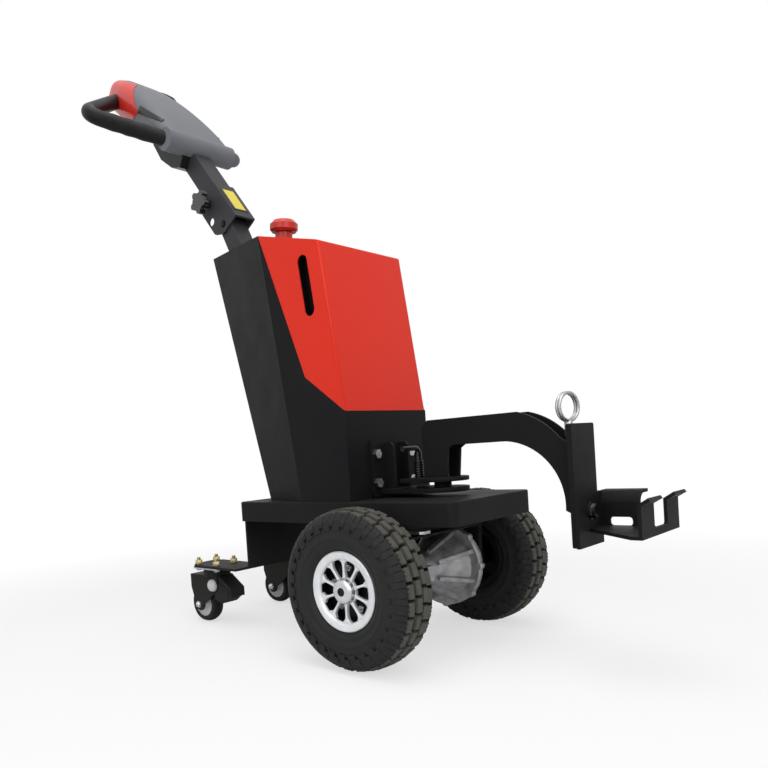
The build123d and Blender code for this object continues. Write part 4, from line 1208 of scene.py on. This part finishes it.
@dataclass
class TillerTrim:
    """Moulded nose, wings and inserts of the head, grip sleeves, and the channel with its hole and plate.

    Cuts of the head are planes of a point and the direction that is kept, along, across and out of the head.
    """

    head: tuple[float, float] = (-562.0, 1075.0)
    head_tilt: float = 39.0
    wing: Planes = (((0, 47, 0), (0, 1, 0)), ((150, 0, 10), (40, 0, -90)), ((150, 0, 10), (30, 0, 35)))
    wing_t: float = 3.0
    strip: Planes = (((0, 50, 0), (0, 1, 0)), ((44, 0, 0), (1, 0, 0)), ((152, 0, 0), (-1, 0, 0)),
                     ((152, 0, 10), (14, 0, 100)), ((152, 0, 27), (-3, 0, -100)))
    strip_t: float = 3.6
    insert: Planes = (((232, 0, 0), (1, 0, 0)), ((292, 0, 0), (-1, 0, 0)), ((0, 46, 0), (0, 1, 0)),
                      ((0, 64, 0), (0, -1, 0)), ((0, 0, 20), (0, 0, 1)))
    insert_t: float = 8.0
    loop_start: Point = (0.0, 74.4, 0.0)
    loop_turn: Point = (135.0, 223.0, -24.0)
    loop_r: float = 17.0
    grip: tuple[float, float] = (46.0, 150.0)
    grip_sunk: float = 0.6
    grip_out: float = 0.25
    waves: int = 3
    wave_steps: int = 16
    wave_high: float = 0.9
    nose_sections: Sequence[tuple[float, float, float, float]] = (
        (250.0, 72.6, -35.0, 54.4), (270.0, 70.4, -35.4, 54.2), (303.0, 65.0, -35.6, 51.4),
        (335.0, 58.0, -35.4, 46.8), (350.0, 54.5, -34.5, 44.0), (362.0, 49.5, -31.5, 39.5),
        (370.0, 42.0, -26.0, 32.5), (374.0, 32.0, -17.0, 23.0))
    nose_points: int = 64
    nose_square: float = 0.62
    pivot: tuple[float, float] = (-457.0, 868.0)
    tilt: float = 54.0
    flange_y: float = 28.0
    channel_edge: float = 1.5
    hole_at: tuple[float, float] = (35.0, -23.0)
    hole_r: float = 8.8
    drill_reach: float = 60.0
    button: Pairs = ((0.0, 1.4), (4.0, 1.4), (5.6, 0.8), (6.0, -6.0), (0.0, -6.0))
    rule_at: tuple[float, float] = (33.5, 15.5)
    rule_t: float = 0.6

    @staticmethod
    def lie(tilt: float, along: float, y: float, out: float) -> Vector:
        """Turns lengths along, across and out of a tilted part into a direction in the frame, in metres."""
        t = math.radians(tilt)
        return Vector((out * math.sin(t) - along * math.cos(t), y, along * math.sin(t) + out * math.cos(t))) * MM

    def at_head(self, along: float, y: float, out: float) -> Vector:
        """Places a point of the head in the frame."""
        return spot(self.head[0], 0, self.head[1]) + self.lie(self.head_tilt, along, y, out)

    def head_cuts(self, planes: Planes, side: Side) -> list[tuple[Vector, Vector]]:
        """Places cuts of the head in the frame.

        Args:
            planes: The cuts, as they are on the far side.
            side: Which side they are for.

        Returns:
            For each cut a point on it and the direction that is kept.
        """
        cuts = []
        for (along, y, out), (way_along, way_y, way_out) in planes:
            way = self.lie(self.head_tilt, way_along, side.value * way_y, way_out)
            cuts.append((self.at_head(along, side.value * y, out), way.normalized()))
        return cuts

    def build(self, side: Side, nodes: dict[str, Obj], paint: Paintbox) -> list[Obj]:
        """Builds one side's red wing, thumb strip and grip sleeve.

        Args:
            side: Which side.
            nodes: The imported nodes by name.
            paint: Where the finishes come from.

        Returns:
            The pieces.
        """
        shell = nodes["head_shell"]
        wing = patch("nose_wing_" + side.tag, shell, self.head_cuts(self.wing, side), self.wing_t)
        paint.dress(wing, RED_ABS)
        strip = patch("thumb_strip_" + side.tag, shell, self.head_cuts(self.strip, side), self.strip_t)
        paint.dress(strip, BLACK_NYLON)
        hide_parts("throttle_paddles")
        foot, turn = (self.at_head(along, side.value * y, out)
                      for along, y, out in (self.loop_start, self.loop_turn))
        first, last = self.grip
        steps = self.wave_steps * self.waves
        profile = [(self.loop_r - self.grip_sunk, first)]
        for i in range(steps + 1):
            wave = 0.5 - 0.5 * math.cos(2 * math.pi * self.waves * i / steps)
            radius = self.loop_r + self.grip_out + self.wave_high * wave
            profile.append((radius, first + (last - first) * i / steps))
        profile.append((self.loop_r - self.grip_sunk, last))
        grip = turned("grip_sleeve_" + side.tag, profile, frame_at(foot, UP, turn - foot), steps=40, smooth=60)
        paint.dress(grip, DIPPED_VINYL)
        return mount(((wing, "red_plastic"), (strip, "black_plastic"), (grip, "black_plastic")), "tiller")

    def nose(self, paint: Paintbox) -> list[Obj]:
        """Builds the rounded red end of the head from rounded sections along it.

        Args:
            paint: Where the finishes come from.

        Returns:
            The piece.
        """
        bm = bmesh.new()
        rings = []
        for along, half, under, top in self.nose_sections:
            tall, centre = (top - under) / 2, (top + under) / 2
            ring = []
            for i in range(self.nose_points):
                a = 2 * math.pi * i / self.nose_points
                c, q = math.cos(a), math.sin(a)
                wide = half * math.copysign(abs(c) ** self.nose_square, c)
                high = tall * math.copysign(abs(q) ** self.nose_square, q)
                ring.append(bm.verts.new(self.at_head(along, wide, centre + high)))
            rings.append(ring)
        for low, high in zip(rings, rings[1:]):
            for i in range(self.nose_points):
                j = (i + 1) % self.nose_points
                bm.faces.new((low[i], low[j], high[j], high[i]))
        bm.faces.new(rings[0])
        bm.faces.new(rings[-1])
        cap = paint.dress(from_bmesh("nose_cap", bm, smooth=60), RED_ABS)
        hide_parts("belly_button")
        return mount(((cap, "red_plastic"),), "tiller")

    def channel(self, nodes: dict[str, Obj], paint: Paintbox) -> list[Obj]:
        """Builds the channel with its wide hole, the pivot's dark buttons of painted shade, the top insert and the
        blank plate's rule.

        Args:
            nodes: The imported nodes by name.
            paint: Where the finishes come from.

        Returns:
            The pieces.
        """
        pin = spot(self.pivot[0], 0, self.pivot[1])
        along, out = self.hole_at
        hole = frame_at(pin + self.lie(self.tilt, along, 0, out), (1, 0, 0), (0, 1, 0))
        body = drilled("channel_drilled", nodes["tiller_channel"], hole, self.hole_r, self.drill_reach)
        soften(paint.dress(body, GRAPHITE), self.channel_edge)
        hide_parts("tiller_channel")
        # The pivot's ends are dark buttons: painted shade of the recessed pivot.
        buttons = bmesh.new()
        for side in Side:
            end = pin + Vector((0, side.value * self.flange_y * MM, 0))
            lathe(buttons, metres(self.button), frame_at(end, (1, 0, 0), (0, side.value, 0)), steps=28)
        pivot = paint.dress(from_bmesh("pivot_buttons", buttons, smooth=40), POCKET_PAINT_AND_SHADE)
        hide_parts("pivot_bolt")
        insert = patch("top_insert", nodes["head_shell"], self.head_cuts(self.insert, Side.FAR), self.insert_t)
        paint.dress(insert, BLACK_NYLON)
        done = [(body, "black_paint"), (pivot, "steel"), (insert, "black_plastic")]
        centre = middle("info_plate")
        length, across = self.lie(self.tilt, 1, 0, 0).normalized(), Vector((0, 1, 0))
        long, wide = self.rule_at
        for label, way, reach in (("foot", -length, long), ("top", length, long),
                                  ("near", -across, wide), ("far", across, wide)):
            cut = (centre + way * reach * MM, way)
            edge = patch("plate_rule_" + label, nodes["info_plate"], (cut,), self.rule_t)
            done.append((paint.dress(edge, INK), "black_paint"))
        return mount(done, "tiller")


@dataclass
class Chassis:
    """The cross-member between the axle hangers, the bright clip by the near one, and the slots' trays of painted
    shade.
    """

    hanger_y: float = 107.0
    bar: tuple[float, float, float, float] = (30.0, 40.0, 198.0, 256.0)
    flange: tuple[float, float] = (14.0, 4.0)
    clip: tuple[float, float, float, float] = (44.0, 84.0, -118.0, -96.0)
    clip_corner: float = 6.0
    clip_z: tuple[float, float] = (209.5, 214.0)
    slot_at: Point = (-133.0, 116.8, 652.0)
    slot_way: Point = (38.0, 0.0, -305.0)
    slot_size: tuple[float, float] = (112.0, 24.0)
    tray_edge: float = 6.0
    tray_gap: float = 2.0
    tray_deep: float = 16.0
    tray_t: float = 2.0
    end_steps: int = 12

    def build(self, paint: Paintbox) -> list[Obj]:
        """Builds the cross-member, the clip and the two trays of painted shade.

        Args:
            paint: Where the finishes come from.

        Returns:
            The pieces.
        """
        x0, x1, z0, z1 = self.bar
        toe, foot = x1 + self.flange[0], z0 + self.flange[1]
        angle = ((x0, z0), (toe, z0), (toe, foot), (x1, foot), (x1, z1), (x0, z1))
        upright = frame_at(spot(0, 0, 0), (1, 0, 0), (0, -1, 0))
        bar = raised("axle_cross_member", angle, -self.hanger_y, self.hanger_y, upright)
        paint.dress(bar, POWDER_LOW)
        x0, x1, y0, y1 = self.clip
        corner = self.clip_corner
        outline = ((x0, y0), (x1 - corner, y0), (x1, y0 + corner), (x1, y1), (x0, y1))
        clip = raised("hanger_clip", outline, *self.clip_z, Matrix.Translation(spot(0, 0, 0)))
        paint.dress(clip, ZINC)
        # The trays are painted shade: the dark inside of the cover, seen through its slots.
        trays = [paint.dress(self._tray(side), POCKET_PAINT_AND_SHADE) for side in Side]
        return mount([(bar, "black_paint"), (clip, "zinc"), *((tray, "black_paint") for tray in trays)], "chassis")

    def _tray(self, side: Side) -> Obj:
        """Builds the black tray that closes one of the cover's slots from inside: painted shade, standing for the
        dark inside of the cover.

        Args:
            side: Which side of the cover.

        Returns:
            The tray.
        """
        x, y, z = self.slot_at
        place = frame_at(spot(x, side.value * y, z), self.slot_way, (0, -side.value, 0))
        long, wide = self.slot_size
        half = (long - wide) / 2
        turns = [math.pi * i / self.end_steps - math.pi / 2 for i in range(self.end_steps + 1)]
        bm = bmesh.new()
        loops = []
        for grow, deep in ((self.tray_edge, 0.0), (self.tray_gap, 0.0), (self.tray_gap, self.tray_deep),
                           (self.tray_edge, self.tray_deep + self.tray_t)):
            r = wide / 2 + grow
            ends = [(half + r * math.cos(a), r * math.sin(a)) for a in turns]
            outline = ends + [(-u, -v) for u, v in ends]
            loops.append([bm.verts.new(place @ Vector((u * MM, v * MM, deep * MM))) for u, v in outline])
        rim, mouth, floor, back = loops
        for i in range(len(rim)):
            j = (i + 1) % len(rim)
            for one, two in ((rim, mouth), (mouth, floor), (back, rim)):
                bm.faces.new((one[i], one[j], two[j], two[i]))
        bm.faces.new(floor)
        bm.faces.new(back)
        return from_bmesh("slot_tray_" + side.tag, bm)


@dataclass(frozen=True)
class Lamp:
    """A square soft lamp: where it hangs, what it points at, its edge length in metres and its power in watts."""

    name: str
    place: Point
    aim: Point
    size: float
    power: float

    def hang(self) -> None:
        """Hangs the lamp in the scene."""
        data = bpy.data.lights.new(self.name, "AREA")
        data.size = self.size
        data.energy = self.power
        obj = bpy.data.objects.new(self.name, data)
        back = Vector(self.place) - Vector(self.aim)
        obj.matrix_world = frame_at(self.place, back.cross(UP) * -1, back)
        bpy.context.scene.collection.objects.link(obj)


@dataclass
class Studio:
    """Pale floor, soft lamps and the camera at the photograph's viewing angle. The floor is in metres."""

    focal_px: float = 707.5
    azimuth: float = 45.69
    elevation: float = 1.461
    roll: float = -3.893
    aim_px: tuple[float, float] = (290.13, 472.04)
    image: int = 768
    sensor: float = 36.0
    stand: Point = (745.22, -1047.52, 352.33)
    lamps: Sequence[Lamp] = (
        Lamp("overhead", (0.5, -0.6, 3.2), (0.0, 0.0, 0.4), 2.6, 50.0),
        Lamp("front_right", (2.6, -1.2, 1.9), (0.0, 0.0, 0.6), 1.8, 27.0),
        Lamp("near_fill", (0.5, -3.0, 1.5), (-0.1, 0.0, 0.6), 2.0, 19.0))
    room_light: float = 0.45
    floor_rings: Sequence[float] = (0.0, 1.2, 4.0, 30.0)
    floor_z: float = -0.0005
    fade_from: float = 0.75
    fade_to: float = 1.6
    fade_least: float = 0.62

    def camera(self) -> None:
        """Sets the camera from the fitted viewing angle."""
        az, el, roll = (math.radians(a) for a in (self.azimuth, self.elevation, self.roll))
        right = Vector((math.cos(az), math.sin(az), 0))
        back = Vector((math.sin(az) * math.cos(el), -math.cos(az) * math.cos(el), math.sin(el)))
        up = back.cross(right)
        level = right * math.cos(roll) + up * math.sin(roll)
        data = bpy.data.cameras.new("camera")
        data.sensor_width = self.sensor
        data.lens = self.focal_px / self.image * self.sensor
        data.shift_x = (self.image / 2 - self.aim_px[0]) / self.image
        data.shift_y = (self.aim_px[1] - self.image / 2) / self.image
        data.clip_end = 100.0
        obj = bpy.data.objects.new("camera", data)
        obj.matrix_world = frame_at(spot(*self.stand), level, back)
        bpy.context.scene.collection.objects.link(obj)
        bpy.context.scene.camera = obj

    def world(self) -> None:
        """Fills the room with even light, and shows white to the camera and in reflections."""
        world = bpy.data.worlds.new("studio")
        bpy.context.scene.world = world
        world.use_nodes = True
        tree = world.node_tree
        tree.nodes.clear()
        ray = put(tree, "ShaderNodeLightPath")
        seen = put(tree, "ShaderNodeBackground", {"Color": linear("ffffff"), "Strength": 1.0})
        room = put(tree, "ShaderNodeBackground", {"Color": linear("f4f6fa"), "Strength": self.room_light})
        share = ray.outputs["Is Camera Ray"]
        for other in ("Is Glossy Ray", "Is Transmission Ray"):
            share = put(tree, "ShaderNodeMath", {0: share, 1: ray.outputs[other]},
                        operation="MAXIMUM").outputs["Value"]
        mix = put(tree, "ShaderNodeMixShader", {0: share, 1: room.outputs[0], 2: seen.outputs[0]})
        put(tree, "ShaderNodeOutputWorld", {"Surface": mix.outputs[0]})

    def floor(self) -> None:
        """Lays the pale floor, white to the camera away from the machine."""
        bm = bmesh.new()
        lathe(bm, [(r, 0) for r in self.floor_rings], Matrix.Translation((0, 0, self.floor_z)), steps=64)
        obj = from_bmesh("floor", bm)
        mat = bpy.data.materials.new("pale_floor")
        mat.use_nodes = True
        tree = mat.node_tree
        tree.nodes.clear()
        where = put(tree, "ShaderNodeTexCoord").outputs["Object"]
        far = put(tree, "ShaderNodeVectorMath", {0: where}, operation="LENGTH").outputs["Value"]
        fade = put(tree, "ShaderNodeMapRange", {
            "Value": far, "From Min": self.fade_from, "From Max": self.fade_to,
            "To Min": self.fade_least, "To Max": 1.0})
        ray = put(tree, "ShaderNodeLightPath").outputs["Is Camera Ray"]
        share = put(tree, "ShaderNodeMath", {0: fade.outputs["Result"], 1: ray}, operation="MULTIPLY")
        matt = put(tree, "ShaderNodeBsdfDiffuse", {"Color": linear("f3f3f3")})
        glow = put(tree, "ShaderNodeEmission", {"Color": linear("ffffff"), "Strength": 1.0})
        mix = put(tree, "ShaderNodeMixShader", {0: share.outputs["Value"], 1: matt.outputs[0], 2: glow.outputs[0]})
        put(tree, "ShaderNodeOutputMaterial", {"Surface": mix.outputs[0]})
        obj.data.materials.append(mat)

    def build(self) -> None:
        """Sets the camera, the lamps, the room and the floor."""
        self.camera()
        for lamp in self.lamps:
            lamp.hang()
        self.world()
        self.floor()
        bpy.context.scene.view_settings.view_transform = "Standard"


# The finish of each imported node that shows, by its name without the side.
NODE_FINISH: dict[str, Finish] = {
    "platform": POWDER_LOW, "column": POWDER, "cover": ENAMEL, "battery": CASE, "estop": RED_ABS,
    "tiller_post": GRAPHITE, "swing_mount": POWDER, "mount_bolts": ZINC, "king_bolt": ZINC, "transaxle": CAST,
    "motor": POWDER_LOW, "axle_hanger": POWDER_LOW, "tow_arm": POWDER, "hitch_plate": POWDER,
    "hook_bracket": POWDER, "lock_plunger": OXIDE, "tiller_tube": GRAPHITE, "head_shell": GREY_ABS,
    "head_base": BLACK_NYLON, "handle_loops": DIPPED_VINYL, "star_knob": KNOB_NYLON, "info_plate": VINYL,
    "caster_plate": ZINC, "caster_fork": POWDER_LOW, "caster_bolt": ZINC, "caster_core": CORE,
    "caster_tread": TREAD}
# How far the edges of sheet and cast nodes are rounded, in millimetres.
SOFT_EDGES: dict[str, float] = {
    "platform": 1.5, "column": 3.5, "cover": 1.6, "tow_arm": 1.2, "hitch_plate": 1.0, "tiller_tube": 3.0,
    "tiller_post": 3.0, "swing_mount": 0.8, "hook_bracket": 0.8, "caster_fork": 1.0, "transaxle": 0.8}


def dress_nodes(nodes: dict[str, Obj], paint: Paintbox) -> None:
    """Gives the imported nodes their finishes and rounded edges.

    Args:
        nodes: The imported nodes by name.
        paint: Where the finishes come from.
    """
    for name, node in nodes.items():
        stem = name.removesuffix("_near").removesuffix("_far")
        if stem == "axle_shaft":
            # Lathe-turned steel of the hub's end: bright, with fine rings about this wheel's own axle.
            paint.dress(node, TurnedFinish(
                name.replace("axle_shaft", "turned_steel"), "d6d7d8", "c2c4c6", 0.3, 1.0, 14.0, 0.02, metal=0.8,
                centre=tuple(middle(name))))
        elif stem in NODE_FINISH:
            paint.dress(node, NODE_FINISH[stem])
        if stem in SOFT_EDGES:
            soften(node, SOFT_EDGES[stem])


def main() -> None:
    """Builds the scene in order."""
    logging.basicConfig(level=logging.INFO, format="%(message)s")
    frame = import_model()
    nodes = frame["nodes"]
    paint = Paintbox()
    copies = Copies()
    dress_nodes(nodes, paint)
    made: list[Obj] = []
    wheels = DriveWheels()
    casters = Casters()
    tiller_trim = TillerTrim()
    for side in Side:
        made += wheels.build(side, paint, copies)
        made += casters.build(side, paint, copies)
        made += tiller_trim.build(side, nodes, paint)
    made += tiller_trim.nose(paint)
    made += tiller_trim.channel(nodes, paint)
    made += TowGear().build(paint, copies)
    made += Chassis().build(paint)
    Studio().build()


if __name__ == "__main__":
    main()
